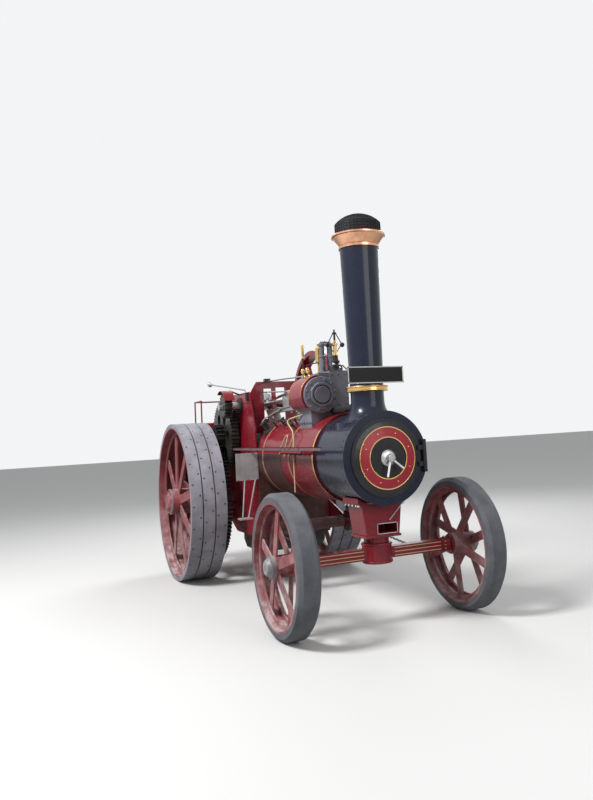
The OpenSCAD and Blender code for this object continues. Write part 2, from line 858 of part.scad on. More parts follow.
module final_gear() {
    color("dimgray") {
        plate_y(outer_gear_y, gear_w) translate([rear_axle_x, rear_r]) difference() {
            polygon(gear_points(final_gear_n, slow_module, final_angle));
            circle(r = final_gear_r - 85);
        }
        plate_y(outer_gear_y + 25, gear_w - 50) translate([rear_axle_x, rear_r]) difference() {
            union() {
                for (i = [0 : final_gear_spokes - 1]) rotate(i * 360 / final_gear_spokes)
                    translate([100, -55]) square([final_gear_r - 160, 110]);
                circle(r = 170);
            }
            circle(r = rear_axle_r);
        }
        plate_y(outer_gear_y, gear_w) translate([rear_axle_x, rear_r]) difference() {
            circle(r = 130);
            circle(r = rear_axle_r);
        }
    }
}

// WHEELS

// A flat spoke from the hub to the rim, leaning from y_in to y_out
module spoke(r_in, r_out, y_in, y_out, w, t) {
    lean = atan2(y_out - y_in, r_out - r_in);
    l = norm([r_out - r_in, y_out - y_in]);
    translate([r_in, y_in, 0]) rotate([0, 0, lean]) translate([0, -t / 2, -w / 2]) cube([l, t, w]);
}

// A spoked wheel round the Y axis, its outer side towards +Y, from rim to hub
module spoked_wheel(rim_r, w, mid_y, n, hub_r, hub_in, hub_out, bore_r, web_off, web_h, rim_t, sw, st, turn) {
    rotate([-90, 0, 0]) rotate_extrude() difference() {
        union() {
            translate([rim_r - rim_t, mid_y - w / 2]) square([rim_t, w]);
            for (s = [-1, 1])
                translate([rim_r - rim_t - web_h, mid_y + s * web_off - st / 2])
                    square([web_h + 1, st]);
            translate([bore_r, hub_in]) square([hub_r - bore_r, hub_out - hub_in]);
        }
        translate([0, hub_in - 1]) square([bore_r, hub_out - hub_in + 2]);
    }
    for (s = [-1, 1], i = [0 : n - 1])
        rotate([0, turn + (i + (s > 0 ? 0.5 : 0)) * 360 / n, 0])
            spoke(hub_r - 20, rim_r - rim_t - 10,
                (hub_in + hub_out) / 2 + s * (hub_out - hub_in) * 0.28, mid_y + s * (web_off - st), sw, st);
}

module hub_cap(r, y, bore) {
    rotate([-90, 0, 0]) rotate_extrude()
        polygon([[bore, y - 1], [r, y - 1], [r, y], [r * 0.8, y + cap_len * 0.8], [r * 0.7, y + cap_len],
            [0, y + cap_len], [0, y + 2], [bore, y + 2]]);
}

module front_wheel() {
    color("firebrick") {
        spoked_wheel(front_rim_r, front_w, front_mid_y, front_spokes, front_hub_r, front_hub_in_y,
            front_hub_out_y, front_stub_r + run, 42, 44, 16, 78, 14, 18);
        hub_cap(front_hub_r - 18, front_hub_out_y, front_stub_r + run);
    }
}

module rear_wheel() {
    color("firebrick") {
        spoked_wheel(rear_rim_r, rear_w, rear_mid_y, rear_spokes, rear_hub_r, rear_hub_in_y,
            rear_hub_out_y, rear_axle_r + run, 120, 70, 16, 100, 16, 11);
        hub_cap(rear_hub_r - 40, rear_hub_out_y, rear_axle_r + run);
    }
}

module front_tyre() {
    b = 30;
    color("gray") rotate([-90, 0, 0]) rotate_extrude() polygon([
        [front_rim_r, front_inner_y], [front_r - b, front_inner_y], [front_r, front_inner_y + b],
        [front_r, front_face_y - b], [front_r - b, front_face_y], [front_rim_r, front_face_y]
    ]);
}

hoop_w = (rear_w - 2 * hoop_gap) / 3;

module rear_hoops() {
    color("gray") rotate([-90, 0, 0]) rotate_extrude() difference() {
        translate([rear_rim_r, rear_inner_y]) square([hoop_t, rear_w]);
        for (i = [1, 2])
            translate([rear_rim_r + 6, rear_inner_y + i * hoop_w + (i - 1) * hoop_gap])
                square([hoop_t, hoop_gap]);
    }
}

// Places a left wheel's child at an axle, on side s
module at_wheel(x, z, s) {
    translate([x, 0, z]) mirror([0, s < 0 ? 1 : 0, 0]) children();
}

module rear_wheel_right() { at_wheel(rear_axle_x, rear_r, -1) rear_wheel(); }
module rear_wheel_left() { at_wheel(rear_axle_x, rear_r, 1) rear_wheel(); }
module rear_hoops_right() { at_wheel(rear_axle_x, rear_r, -1) rear_hoops(); }
module rear_hoops_left() { at_wheel(rear_axle_x, rear_r, 1) rear_hoops(); }
module front_wheel_right() { at_wheel(front_axle_x, front_r, -1) front_wheel(); }
module front_wheel_left() { at_wheel(front_axle_x, front_r, 1) front_wheel(); }
module front_tyre_right() { at_wheel(front_axle_x, front_r, -1) front_tyre(); }
module front_tyre_left() { at_wheel(front_axle_x, front_r, 1) front_tyre(); }

// FRONT AXLE AND STEERING

drum_top_z = 690;
drum_r = 130;
beam_low_z = 550;
beam_top_z = 645;
perch_foot_z = 780;

module perch_bracket() {
    color("firebrick") {
        difference() {
            union() {
                hull() {
                    box([front_axle_x - 170, -230, 1010], [front_axle_x + 150, 230, 1080]);
                    box([front_axle_x - 110, -120, perch_foot_z - 1], [front_axle_x + 100, 120, perch_foot_z + 10]);
                }
                box([front_axle_x - 170, -230, 1060], [front_axle_x + 150, 230, 1130]);
            }
            bar_x(smokebox_back_x - 100, 1000, 0, boiler_z, smokebox_r + gap);
        }
        translate([front_axle_x, 0, drum_top_z + gap])
            cylinder(h = perch_foot_z - drum_top_z - gap + 5, r = 110);
        translate([front_axle_x, 0, beam_low_z - 30])
            cylinder(h = perch_foot_z - beam_low_z + 30, r = king_r);
    }
}

module front_axle() {
    color("firebrick") difference() {
        union() {
            box([front_axle_x - 48, -front_hub_in_y + 10, beam_low_z],
                [front_axle_x + 48, front_hub_in_y - 10, beam_top_z]);
            translate([front_axle_x, 0, beam_low_z - 30])
                cylinder(h = drum_top_z - beam_low_z + 30, r = drum_r);
            bar_y(front_axle_x, -front_hub_out_y, 2 * front_hub_out_y, front_r, front_stub_r);
            for (s = [-1, 1])
                bar_y(front_axle_x, s * (front_hub_in_y - 14) - 9, 18, front_r, 80);
            for (s = [-1, 1])
                box([front_axle_x - 90, s * chain_y - 14, front_r - 40],
                    [front_axle_x - 40, s * chain_y + 14, front_r + 40]);
        }
        translate([front_axle_x, 0, beam_low_z - 31])
            cylinder(h = drum_top_z - beam_low_z + 32, r = king_r + run);
    }
}

steer_arm_t = 16;
steer_pin_r = 30;

module steering_barrel() {
    color("dimgray") {
        bar_y(barrel_x, -horn_out_y - 34, horn_out_y + 34 + column_y, steer_z, steer_pin_r);
        bar_y(barrel_x, -firebox_half + 10, 2 * firebox_half - 20, steer_z, steer_r);
        bar_y(barrel_x, column_y - 18, 36, steer_z, worm_wheel_r);
    }
}

// Distance of the column's two bearings from the worm
column_bearings = [620, 1500];

module steering_brackets() {
    color("firebrick") for (y = [-horn_out_y - steer_arm_t, horn_out_y]) difference() {
        plate_y(y, steer_arm_t) difference() {
            polygon([[-300, 620], [-66, 600], [barrel_x, steer_z - 60], [barrel_x + 60, steer_z],
                [barrel_x, steer_z + 60], [-66, 900], [-300, 920]]);
            translate([barrel_x, steer_z]) circle(r = steer_pin_r + run);
        }
    }
    color("dimgray") for (t = column_bearings)
        translate([worm_x, column_y, worm_z]) rotate([0, -90 + column_tilt, 0]) difference() {
            translate([0, 0, t]) union() {
                cylinder(h = 50, r = 30);
                translate([-26, -column_y + horn_out_y, 0]) cube([52, column_y - horn_out_y, 50]);
            }
            cylinder(h = column_l, r = column_r + run);
        }
}

module steering_column() {
    color("silver") translate([worm_x, column_y, worm_z]) rotate([0, -90 + column_tilt, 0]) {
        translate([0, 0, -70]) cylinder(h = column_l + 70, r = column_r);
        translate([0, 0, -50]) cylinder(h = 100, r = worm_r - 2);
    }
}

module hand_wheel() {
    color("dimgray") translate([worm_x, column_y, worm_z]) rotate([0, -90 + column_tilt, 0])
        translate([0, 0, column_l]) difference() {
            union() {
                rotate_extrude() translate([hand_wheel_r - 14, 0]) circle(r = 14);
                translate([0, 0, -24]) cylinder(h = 48, r = 40);
                for (i = [0 : 2]) rotate([0, 90, i * 120]) cylinder(h = hand_wheel_r - 20, r = 11);
            }
            translate([0, 0, -25]) cylinder(h = 25, r = column_r);
        }
}

chain_r = 9;
chain_end_x = front_axle_x - 92;

// Height of a chain over the barrel's centre line where it leaves the barrel, on side s
function chain_lift(s) = s * (steer_r + chain_r + gap)
    / cos(atan2(steer_z + s * (steer_r + chain_r) - front_r, chain_end_x - barrel_x));

module steering_chains() {
    color("dimgray") for (s = [-1, 1])
        rod([barrel_x, s * chain_y * 0.8, steer_z + chain_lift(s)], [chain_end_x, s * chain_y, front_r], chain_r);
}

// SIDE FITTINGS AND TENDER

side_bar_y = -500;
side_bar_z = 1540;

module side_bar() {
    color("lightgray") box([-435, side_bar_y - 10, side_bar_z - 28], [1960, side_bar_y + 10, side_bar_z + 28]);
    color("salmon") {
        difference() {
            box([940, side_bar_y + 10, side_bar_z - 75], [1500, -300, side_bar_z - 55]);
            bar_x(700, 1000, 0, boiler_z, barrel_r);
        }
        box([940, side_bar_y + 10, side_bar_z - 75], [1500, side_bar_y + 22, side_bar_z + 10]);
        box([-340, side_bar_y + 10, side_bar_z - 20], [-280, -horn_out_y, side_bar_z + 20]);
    }
}

module gear_guard() {
    color("lightgray") {
        box([-150, -640, 1180], [-138, -horn_out_y, 1490]);
    }
}

module tender_tank() {
    color("firebrick") box([tender_back_x, -tender_half, 600], [tender_front_x, tender_half, footplate_z - 20]);
}

module footplate() {
    color("dimgray") {
        box([tender_back_x + sheet_t, -tender_half + sheet_t, footplate_z - 20],
            [tender_front_x, tender_half - sheet_t, footplate_z]);
        box([tender_front_x, -firebox_half + 1, footplate_z - 20], [backhead_x, firebox_half - 1, footplate_z]);
    }
}

bunker_x = -1980;

module tender_body() {
    color("firebrick") difference() {
        box([tender_back_x, -tender_half, footplate_z - 20], [tender_front_x, tender_half, bunker_z]);
        box([bunker_x + sheet_t, -tender_half + sheet_t, footplate_z - 30],
            [tender_front_x + 1, tender_half - sheet_t, bunker_z + 1]);
        box([tender_back_x + sheet_t, -tender_half + sheet_t, footplate_z - 30],
            [bunker_x, tender_half - sheet_t, bunker_z + 1]);
        box([tender_back_x + sheet_t, -tender_half + sheet_t, footplate_z - 30],
            [tender_front_x + 1, tender_half - sheet_t, footplate_z]);
        box([bunker_x + 60, -tender_half - 1, footplate_z + 450],
            [tender_front_x + 1, tender_half + 1, bunker_z + 1]);
        box([bunker_x - 1, -180, footplate_z - 30], [bunker_x + sheet_t + 1, 180, footplate_z + 350]);
    }
}

drawbar_z = 660;
drawbar_pin_r = 20;
drawbar_x = tender_back_x - drawbar_reach;

module drawbar() {
    color("dimgray") difference() {
        union() {
            box([tender_back_x - 20, -110, drawbar_z - 90], [tender_back_x, 110, drawbar_z + 90]);
            for (z = [drawbar_z - 60, drawbar_z + 30])
                box([drawbar_x + 60, -60, z], [tender_back_x - 10, 60, z + 30]);
            for (z = [drawbar_z - 60, drawbar_z + 30])
                translate([drawbar_x + 60, 0, z]) cylinder(h = 30, r = 60);
        }
        translate([drawbar_x + 60, 0, drawbar_z - 100]) cylinder(h = 200, r = drawbar_pin_r);
    }
}

smokebox();
tube_plate();
smokebox_door();
door_ring();
door_dart();
chimney_base();
chimney_band();
chimney_barrel();
chimney_cap();
spark_arrester();
number_plate();
boiler_barrel();
boiler_bands();
firebox();
backhead();
fire_door();
ashpan();
horn_plate_right();
horn_plate_left();
cross_plate();
bearings();
cylinder_block();
cylinder_cladding();
cylinder_cover();
safety_valves();
whistle();
governor();
guide_bars();
crosshead();
valve_link();
connecting_rod();
forward_eccentric_rod();
reverse_eccentric_rod();
crankshaft();
flywheel();
crank_pinion();
second_shaft();
rear_axle();
final_gear();
rear_wheel_right();
rear_wheel_left();
rear_hoops_right();
rear_hoops_left();
perch_bracket();
front_axle();
front_wheel_right();
front_wheel_left();
front_tyre_right();
front_tyre_left();
steering_brackets();
steering_barrel();
steering_column();
hand_wheel();
steering_chains();
side_bar();
gear_guard();
tender_tank();
footplate();
tender_body();
drawbar();
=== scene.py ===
"""Steam traction engine: finishes, fasteners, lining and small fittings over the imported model.

All lengths are in metres. Forward is +X, the engine's left is +Y and the ground is Z = 0.
"""

import json
import math

import bmesh
import bpy
from mathutils import Matrix, Vector


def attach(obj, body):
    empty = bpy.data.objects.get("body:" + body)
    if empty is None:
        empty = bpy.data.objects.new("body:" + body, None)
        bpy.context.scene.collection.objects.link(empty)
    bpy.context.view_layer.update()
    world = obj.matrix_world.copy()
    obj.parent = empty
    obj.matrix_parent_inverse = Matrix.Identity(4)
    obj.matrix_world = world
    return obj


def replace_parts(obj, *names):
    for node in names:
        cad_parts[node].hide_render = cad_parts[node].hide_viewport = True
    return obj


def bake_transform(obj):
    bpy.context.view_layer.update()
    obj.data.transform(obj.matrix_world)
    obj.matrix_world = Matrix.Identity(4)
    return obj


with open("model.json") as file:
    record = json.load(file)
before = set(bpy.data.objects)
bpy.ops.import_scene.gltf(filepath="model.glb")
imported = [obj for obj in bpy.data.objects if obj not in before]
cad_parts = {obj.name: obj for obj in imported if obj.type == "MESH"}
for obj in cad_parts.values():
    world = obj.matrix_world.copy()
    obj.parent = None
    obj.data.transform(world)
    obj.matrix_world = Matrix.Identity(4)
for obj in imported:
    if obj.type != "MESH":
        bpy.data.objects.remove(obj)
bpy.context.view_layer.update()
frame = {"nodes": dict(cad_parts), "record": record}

# Sizes and places that several pieces share
BOILER = Vector((0, 0, 1.421))
FRONT_AXLE = Vector((1.893, 0, 0.593))
REAR_AXLE = Vector((-1.343, 0, 0.93))
CRANK = Vector((-0.585, 0, 2.02))
CYLINDER_Y = -0.2
CYLINDER_FRONT = 1.29
CYLINDER_BACK = 0.9
CHEST_TOP = 2.249
CHIMNEY_X = 1.881
HORN_FACE = 0.42
BACKHEAD_FACE = -0.9295
BARREL_R = 0.41
SMOKEBOX_R = 0.394
PERCH_SEAT_R = 0.4024
PERCH_SADDLE_R = PERCH_SEAT_R + 0.045
TENDER_CAD_TOP = 2.06
TENDER_TOP = 1.86
HORN_OUTLINE = (
    (-0.241, 2.16), (-0.066, 1.729), (-0.066, 0.56), (-0.93, 0.56), (-1.21, 0.7),
    (-1.54, 0.73), (-1.54, 1.08), (-1.48, 1.18), (-1.24, 1.33), (-1.18, 1.64),
    (-1.09, 1.84), (-0.93, 2.000), (-0.86, 2.16),
)
SIDES = {"right": -1, "left": 1}
TO_FRONT = (1, 0, 0)
TO_BACK = (-1, 0, 0)
TO_RIGHT = (0, -1, 0)
TO_LEFT = (0, 1, 0)
UPWARDS = (0, 0, 1)


# Camera, fitted to the outlines of the wheels, boiler and chimney

CAMERA_PLACE = Vector((7.814, -2.997, 1.675))
CAMERA_YAW = math.radians(155.252)
CAMERA_PITCH = math.radians(5.501)
CAMERA_ROLL = math.radians(-3.164)

level = math.cos(CAMERA_PITCH)
forward = Vector((math.cos(CAMERA_YAW) * level, math.sin(CAMERA_YAW) * level, math.sin(CAMERA_PITCH)))
level_right = forward.cross(Vector(UPWARDS)).normalized()
level_up = level_right.cross(forward)
right = math.cos(CAMERA_ROLL) * level_right + math.sin(CAMERA_ROLL) * level_up
up = math.cos(CAMERA_ROLL) * level_up - math.sin(CAMERA_ROLL) * level_right


def stand(name, data):
    """A new object in the scene that shows the data."""
    shown = bpy.data.objects.new(name, data)
    bpy.context.scene.collection.objects.link(shown)
    return shown


camera_data = bpy.data.cameras.new("camera")
camera_data.lens = 33.6
camera_data.shift_x = -0.0524
camera_data.shift_y = -0.0521
camera = stand("camera", camera_data)
turned_to_view = Matrix((right, up, -forward)).transposed().to_4x4()
camera.matrix_world = Matrix.Translation(CAMERA_PLACE) @ turned_to_view
bpy.context.scene.camera = camera


# Effects that several finishes share


def start_group(name, inputs, outputs):
    """A new node group and its inner sockets. inputs maps a name to its default, a number or a colour."""
    group = bpy.data.node_groups.new(name, "ShaderNodeTree")
    for label, default in inputs.items():
        kind = "NodeSocketColor" if isinstance(default, tuple) else "NodeSocketFloat"
        socket = group.interface.new_socket(label, in_out="INPUT", socket_type=kind)
        socket.default_value = default
    for label, kind in outputs.items():
        group.interface.new_socket(label, in_out="OUTPUT", socket_type="NodeSocket" + kind)
    given = group.nodes.new("NodeGroupInput").outputs
    return group, given, group.nodes.new("NodeGroupOutput").inputs


def wire(tree, kind, inputs=None, **settings):
    """Adds a node, sets it, and feeds its inputs from sockets or plain values."""
    node = tree.nodes.new(kind)
    for name, value in settings.items():
        setattr(node, name, value)
    for key, value in (inputs or {}).items():
        if isinstance(value, bpy.types.NodeSocket):
            tree.links.new(value, node.inputs[key])
        else:
            node.inputs[key].default_value = value
    return node


def noise(tree, scale, detail=3.0, stretch=(1, 1, 1)):
    """Noise on the piece's own place, stretched along its axes."""
    place = wire(tree, "ShaderNodeTexCoord").outputs["Object"]
    place = wire(tree, "ShaderNodeMapping", {"Vector": place, "Scale": stretch}).outputs[0]
    inputs = {"Vector": place, "Scale": scale, "Detail": detail, "Roughness": 0.6}
    return wire(tree, "ShaderNodeTexNoise", inputs).outputs["Fac"]


def remap(tree, value, low, high, to_low=0.0, to_high=1.0):
    """Spreads a range of values onto another one, clamped."""
    inputs = {"Value": value, "From Min": low, "From Max": high, "To Min": to_low, "To Max": to_high}
    return wire(tree, "ShaderNodeMapRange", inputs).outputs["Result"]


def calculate(tree, operation, first, second=0.0):
    """One sum, product or comparison of two values."""
    return wire(tree, "ShaderNodeMath", {0: first, 1: second}, operation=operation).outputs[0]


def multiply(tree, first, second):
    """The product of two values."""
    return calculate(tree, "MULTIPLY", first, second)


def mix_colour(tree, factor, first, second):
    """A blend of two colours by a mask."""
    inputs = {0: factor, 6: first, 7: second}
    return wire(tree, "ShaderNodeMix", inputs, data_type="RGBA").outputs[2]


def cover(group, mask, given, layer, result):
    """Ends an effect: lays the layer's colour over the given one where the mask says."""
    mixed = mix_colour(group, mask, given["Colour"], given[layer])
    group.links.new(mixed, result["Colour"])
    group.links.new(mask, result["Mask"])
    return group


def make_uneven_coat():
    """Paint or metal whose colour and gloss vary from place to place, with a faint ripple."""
    group, given, result = start_group(
        "uneven_coat",
        {"Colour": (0.5, 0.5, 0.5, 1), "Spread": 0.2, "Scale": 4.0, "Roughness": 0.3, "Ripple": 0.1},
        {"Colour": "Color", "Roughness": "Float", "Normal": "Vector"},
    )
    fine_to_broad = 14.0
    fine = noise(group, multiply(group, given["Scale"], fine_to_broad), 5.0)
    lighter = remap(group, noise(group, given["Scale"]), 0.35, 0.68)
    shade = multiply(group, calculate(group, "SUBTRACT", lighter, 0.5), given["Spread"])
    value = calculate(group, "ADD", shade, 1.0)
    tinted = wire(group, "ShaderNodeHueSaturation", {"Color": given["Colour"], "Value": value})
    rough = multiply(group, given["Roughness"], remap(group, fine, 0.3, 0.7, 0.8, 1.35))
    inputs = {"Strength": given["Ripple"], "Distance": 0.004, "Height": fine}
    bump = wire(group, "ShaderNodeBump", inputs)
    group.links.new(tinted.outputs[0], result["Colour"])
    group.links.new(rough, result["Roughness"])
    group.links.new(bump.outputs[0], result["Normal"])
    return group


def make_settled_dust():
    """Road dust and soot film: thick near the ground and on what faces up, in patches."""
    group, given, result = start_group(
        "settled_dust",
        {"Colour": (0.5, 0.5, 0.5, 1), "Dust": (0.4, 0.36, 0.3, 1), "Amount": 0.3, "Height": 1.2},
        {"Colour": "Color", "Mask": "Float"},
    )
    place = wire(group, "ShaderNodeTexCoord").outputs["Object"]
    height = wire(group, "ShaderNodeSeparateXYZ", {0: place}).outputs["Z"]
    low = calculate(group, "DIVIDE", height, given["Height"])
    low = remap(group, low, 0.0, 1.0, 1.0, 0.12)
    normal = wire(group, "ShaderNodeNewGeometry").outputs["Normal"]
    upward = wire(group, "ShaderNodeSeparateXYZ", {0: normal}).outputs["Z"]
    facing = remap(group, upward, 0.3, 1.0, 0.0, 0.6)
    patches = remap(group, noise(group, 9.0, 6.0), 0.38, 0.66, 0.15, 1.0)
    mask = multiply(group, calculate(group, "ADD", low, facing), patches)
    mask = multiply(group, mask, given["Amount"])
    mask = wire(group, "ShaderNodeClamp", {"Value": mask}).outputs[0]
    return cover(group, mask, given, "Dust", result)


def make_worn_edges():
    """Where a sharp edge has lost its paint: a mask from how far a rounded normal leaves the true one."""
    group, given, result = start_group(
        "worn_edges",
        {"Colour": (0.5, 0.5, 0.5, 1), "Bare": (0.3, 0.28, 0.26, 1), "Amount": 0.6, "Width": 0.004},
        {"Colour": "Color", "Mask": "Float"},
    )
    rounded = wire(group, "ShaderNodeBevel", {"Radius": given["Width"]}, samples=4).outputs[0]
    true = wire(group, "ShaderNodeNewGeometry").outputs["Normal"]
    product = wire(group, "ShaderNodeVectorMath", {0: rounded, 1: true}, operation="DOT_PRODUCT")
    edge = remap(group, product.outputs["Value"], 0.98, 0.8)
    chips = remap(group, noise(group, 30.0, 6.0), 0.42, 0.6)
    mask = multiply(group, multiply(group, edge, chips), given["Amount"])
    return cover(group, mask, given, "Bare", result)


def make_streaks():
    """Stains that run down a surface, such as rust under a bolt or soot below the cap."""
    group, given, result = start_group(
        "streaks",
        {"Colour": (0.5, 0.5, 0.5, 1), "Stain": (0.15, 0.07, 0.03, 1), "Amount": 0.4, "Scale": 14.0},
        {"Colour": "Color", "Mask": "Float"},
    )
    lines = remap(group, noise(group, given["Scale"], 5.0, (1, 1, 0.12)), 0.52, 0.72)
    broken = remap(group, noise(group, 5.0, 3.0), 0.4, 0.62)
    mask = multiply(group, multiply(group, lines, broken), given["Amount"])
    return cover(group, mask, given, "Stain", result)


UNEVEN_COAT = make_uneven_coat()
SETTLED_DUST = make_settled_dust()
WORN_EDGES = make_worn_edges()
STREAKS = make_streaks()


def use(tree, group, **values):
    """Places a shared effect in a finish."""
    return wire(tree, "ShaderNodeGroup", values, node_tree=group)


# Finishes

ROAD_DUST = (0.36, 0.31, 0.25, 1)
OLD_OIL = (0.035, 0.025, 0.018, 1)
BARE_IRON = (0.2, 0.17, 0.15, 1)
RUST = (0.2, 0.075, 0.03, 1)


def finish(
    name, colour, roughness, metallic=0.0, coat=0.0, specular=0.3, spread=0.25, scale=4.0, ripple=0.06,
    dust=0.25, dust_colour=ROAD_DUST, wear=0.5, bare=BARE_IRON, stain=0.0, stain_colour=RUST,
):
    """A finish on metal or rubber: uneven coat, stains, worn edges and settled dust."""
    material = bpy.data.materials.new(name)
    material.use_nodes = True
    tree = material.node_tree
    shader = tree.nodes["Principled BSDF"]
    coated = use(
        tree, UNEVEN_COAT,
        Colour=(*colour, 1), Spread=spread, Scale=scale, Roughness=roughness, Ripple=ripple,
    )
    shown = coated.outputs["Colour"]
    if stain:
        shown = use(tree, STREAKS, Colour=shown, Stain=stain_colour, Amount=stain).outputs["Colour"]
    if wear:
        shown = use(tree, WORN_EDGES, Colour=shown, Bare=bare, Amount=wear).outputs["Colour"]
    dusted = use(tree, SETTLED_DUST, Colour=shown, Dust=dust_colour, Amount=dust)
    dull = multiply(tree, dusted.outputs["Mask"], 0.5)
    rough = calculate(tree, "ADD", coated.outputs["Roughness"], dull)
    tree.links.new(dusted.outputs["Colour"], shader.inputs["Base Color"])
    tree.links.new(rough, shader.inputs["Roughness"])
    tree.links.new(coated.outputs["Normal"], shader.inputs["Normal"])
    shader.inputs["Metallic"].default_value = metallic
    shader.inputs["Specular IOR Level"].default_value = specular
    shader.inputs["Coat Weight"].default_value = coat
    shader.inputs["Coat Roughness"].default_value = 0.06
    return material


BLUE_BLACK = finish(
    "blue_black_gloss", (0.01, 0.014, 0.036), 0.26, coat=0.22, specular=0.22, dust=0.07, wear=0.25,
    stain=0.15, stain_colour=OLD_OIL,
)
# The dust is set high so that it also paints a light sheen on the domed door's rim.
DOOR_DUST_AND_SHEEN_BLACK = finish(
    "door_black_dust_and_sheen", (0.013, 0.013, 0.019), 0.32, coat=0.2, specular=0.26, dust=0.22, wear=0.3,
)
ENGINE_RED = finish(
    "engine_red_gloss", (0.23, 0.006, 0.018), 0.28, coat=0.25, specular=0.22, dust=0.08, wear=0.3,
    stain=0.2, stain_colour=OLD_OIL,
)
RING_RED = finish("ring_red", (0.42, 0.02, 0.04), 0.38, coat=0.15, dust=0.05, wear=0.2)
WHEEL_RED = finish(
    "wheel_red_faded", (0.27, 0.055, 0.064), 0.6, spread=0.6, scale=6.0, dust=0.95,
    dust_colour=(0.58, 0.44, 0.44, 1), wear=0.7, stain=0.45,
)
HOOP_GREY = finish(
    "hoop_grey_worn", (0.33, 0.325, 0.375), 0.6, spread=0.45, ripple=0.3, dust=0.2, wear=0.7,
    bare=(0.1, 0.065, 0.05, 1), stain=0.4,
)
TYRE_GREY = finish(
    "tyre_grey_rubber", (0.115, 0.12, 0.14), 0.75, spread=0.35, ripple=0.35, dust=0.35,
    dust_colour=(0.34, 0.33, 0.32, 1), wear=0.0,
)
LIGHT_GREY = finish("light_grey_steel", (0.36, 0.355, 0.37), 0.45, spread=0.4, dust=0.2, stain=0.35)
CREAM = finish("cream_line", (0.72, 0.56, 0.3), 0.4, coat=0.2, dust=0.1, wear=0.0)
WHITE_EDGE = finish("white_edge", (0.75, 0.75, 0.72), 0.4, dust=0.1, wear=0.0)
BRASS = finish(
    "polished_brass", (0.76, 0.5, 0.19), 0.2, metallic=1.0, specular=0.5, spread=0.2, dust=0.08,
    wear=0.0, stain=0.25, stain_colour=(0.3, 0.17, 0.06, 1),
)
COPPER = finish(
    "polished_copper", (0.74, 0.4, 0.25), 0.24, metallic=1.0, specular=0.5, spread=0.4, scale=9.0,
    dust=0.05, wear=0.0, stain=0.5, stain_colour=(0.2, 0.09, 0.045, 1),
)
BRIGHT_STEEL = finish(
    "bright_oiled_steel", (0.5, 0.5, 0.5), 0.28, metallic=1.0, specular=0.5, spread=0.3, scale=9.0,
    dust=0.12, dust_colour=OLD_OIL, wear=0.0, stain=0.4, stain_colour=OLD_OIL,
)
DARK_IRON = finish("oily_dark_iron", (0.026, 0.024, 0.025), 0.42, spread=0.5, ripple=0.3, dust=0.18)
GEAR_IRON = finish(
    "greasy_gear_iron", (0.04, 0.036, 0.035), 0.34, metallic=0.5, spread=0.5, ripple=0.3, dust=0.1,
    wear=0.9, bare=(0.34, 0.32, 0.3, 1),
)
CASTING_GREY = finish(
    "grey_painted_casting", (0.185, 0.185, 0.222), 0.42, coat=0.1, spread=0.35, ripple=0.35, dust=0.12,
)
PLATE_BLACK = finish("plate_black", (0.008, 0.008, 0.008), 0.4, specular=0.2, dust=0.04, wear=0.0)
SOOTY_WIRE = finish("sooty_wire", (0.02, 0.019, 0.022), 0.5, metallic=0.4, spread=0.4, dust=0.1, wear=0.0)
# A near-black dark red plate for the firebox, much darker than the engine red.
DARK_FIREBOX_PLATE = finish(
    "firebox_plate", (0.06, 0.022, 0.02), 0.5, spread=0.5, ripple=0.2, dust=0.3, wear=0.4, stain=0.4,
)
# Painted shade: a dark red for the steering barrel, which sits in shadow under the boiler.
PAINTED_SHADE_IRON = finish("painted_shade_dark_red_iron", (0.07, 0.02, 0.022), 0.5, spread=0.5, ripple=0.2, dust=0.3)
# Dark brown-red with oil stains, darkened further as painted shade under the side bar.
SHADE_AND_OIL_SHEET = finish(
    "painted_shade_and_oil_sheet", (0.06, 0.022, 0.02), 0.42, coat=0.1, specular=0.25, spread=0.7, scale=7.0,
    dust=0.2, wear=0.3, stain=0.6, stain_colour=OLD_OIL,
)
BAR_GREY = finish(
    "pinkish_grey_bar", (0.17, 0.105, 0.11), 0.45, spread=0.5, dust=0.2,
    dust_colour=(0.42, 0.36, 0.36, 1),
)
GUARD_GREY = finish("pale_guard_sheet", (0.44, 0.41, 0.42), 0.5, spread=0.4, dust=0.2, stain=0.35)
RUSTY_BOLT = finish("rusty_bolt", (0.075, 0.045, 0.032), 0.7, spread=0.5, ripple=0.3, dust=0.1, wear=0.0)
HUB_GREY = finish("hub_steel", (0.26, 0.26, 0.285), 0.42, metallic=0.3, spread=0.4, ripple=0.3, dust=0.2)

SLOT_FINISH = {
    "smokebox_blue": BLUE_BLACK,
    "door_black": DOOR_DUST_AND_SHEEN_BLACK,
    "engine_red": ENGINE_RED,
    "wheel_red": WHEEL_RED,
    "hoop_grey": HOOP_GREY,
    "tyre_grey": TYRE_GREY,
    "light_grey": LIGHT_GREY,
    "cream": CREAM,
    "brass": BRASS,
    "copper": COPPER,
    "bright_steel": BRIGHT_STEEL,
    "dark_iron": DARK_IRON,
    "cylinder_grey": CASTING_GREY,
    "plate_black": PLATE_BLACK,
    "wire_mesh": SOOTY_WIRE,
}
NODE_FINISH = {
    "door_ring": RING_RED,
    "second_shaft": GEAR_IRON,
    "final_gear": GEAR_IRON,
    "crank_pinion": GEAR_IRON,
    "firebox": DARK_FIREBOX_PLATE,
    "boiler_bands": ENGINE_RED,
    # the steering barrel gets painted shade
    "steering_barrel": PAINTED_SHADE_IRON,
}
for part in frame["record"]["subparts"]:
    mesh = frame["nodes"][part["node"]].data
    mesh.materials.clear()
    mesh.materials.append(NODE_FINISH.get(part["node"], SLOT_FINISH[part["material_slot"]]))


# How new pieces are made


def towards(point, direction):
    """The place of a fastener at a point, standing up along a direction."""
    return Matrix.Translation(point) @ Vector(direction).to_track_quat("Z", "Y").to_matrix().to_4x4()


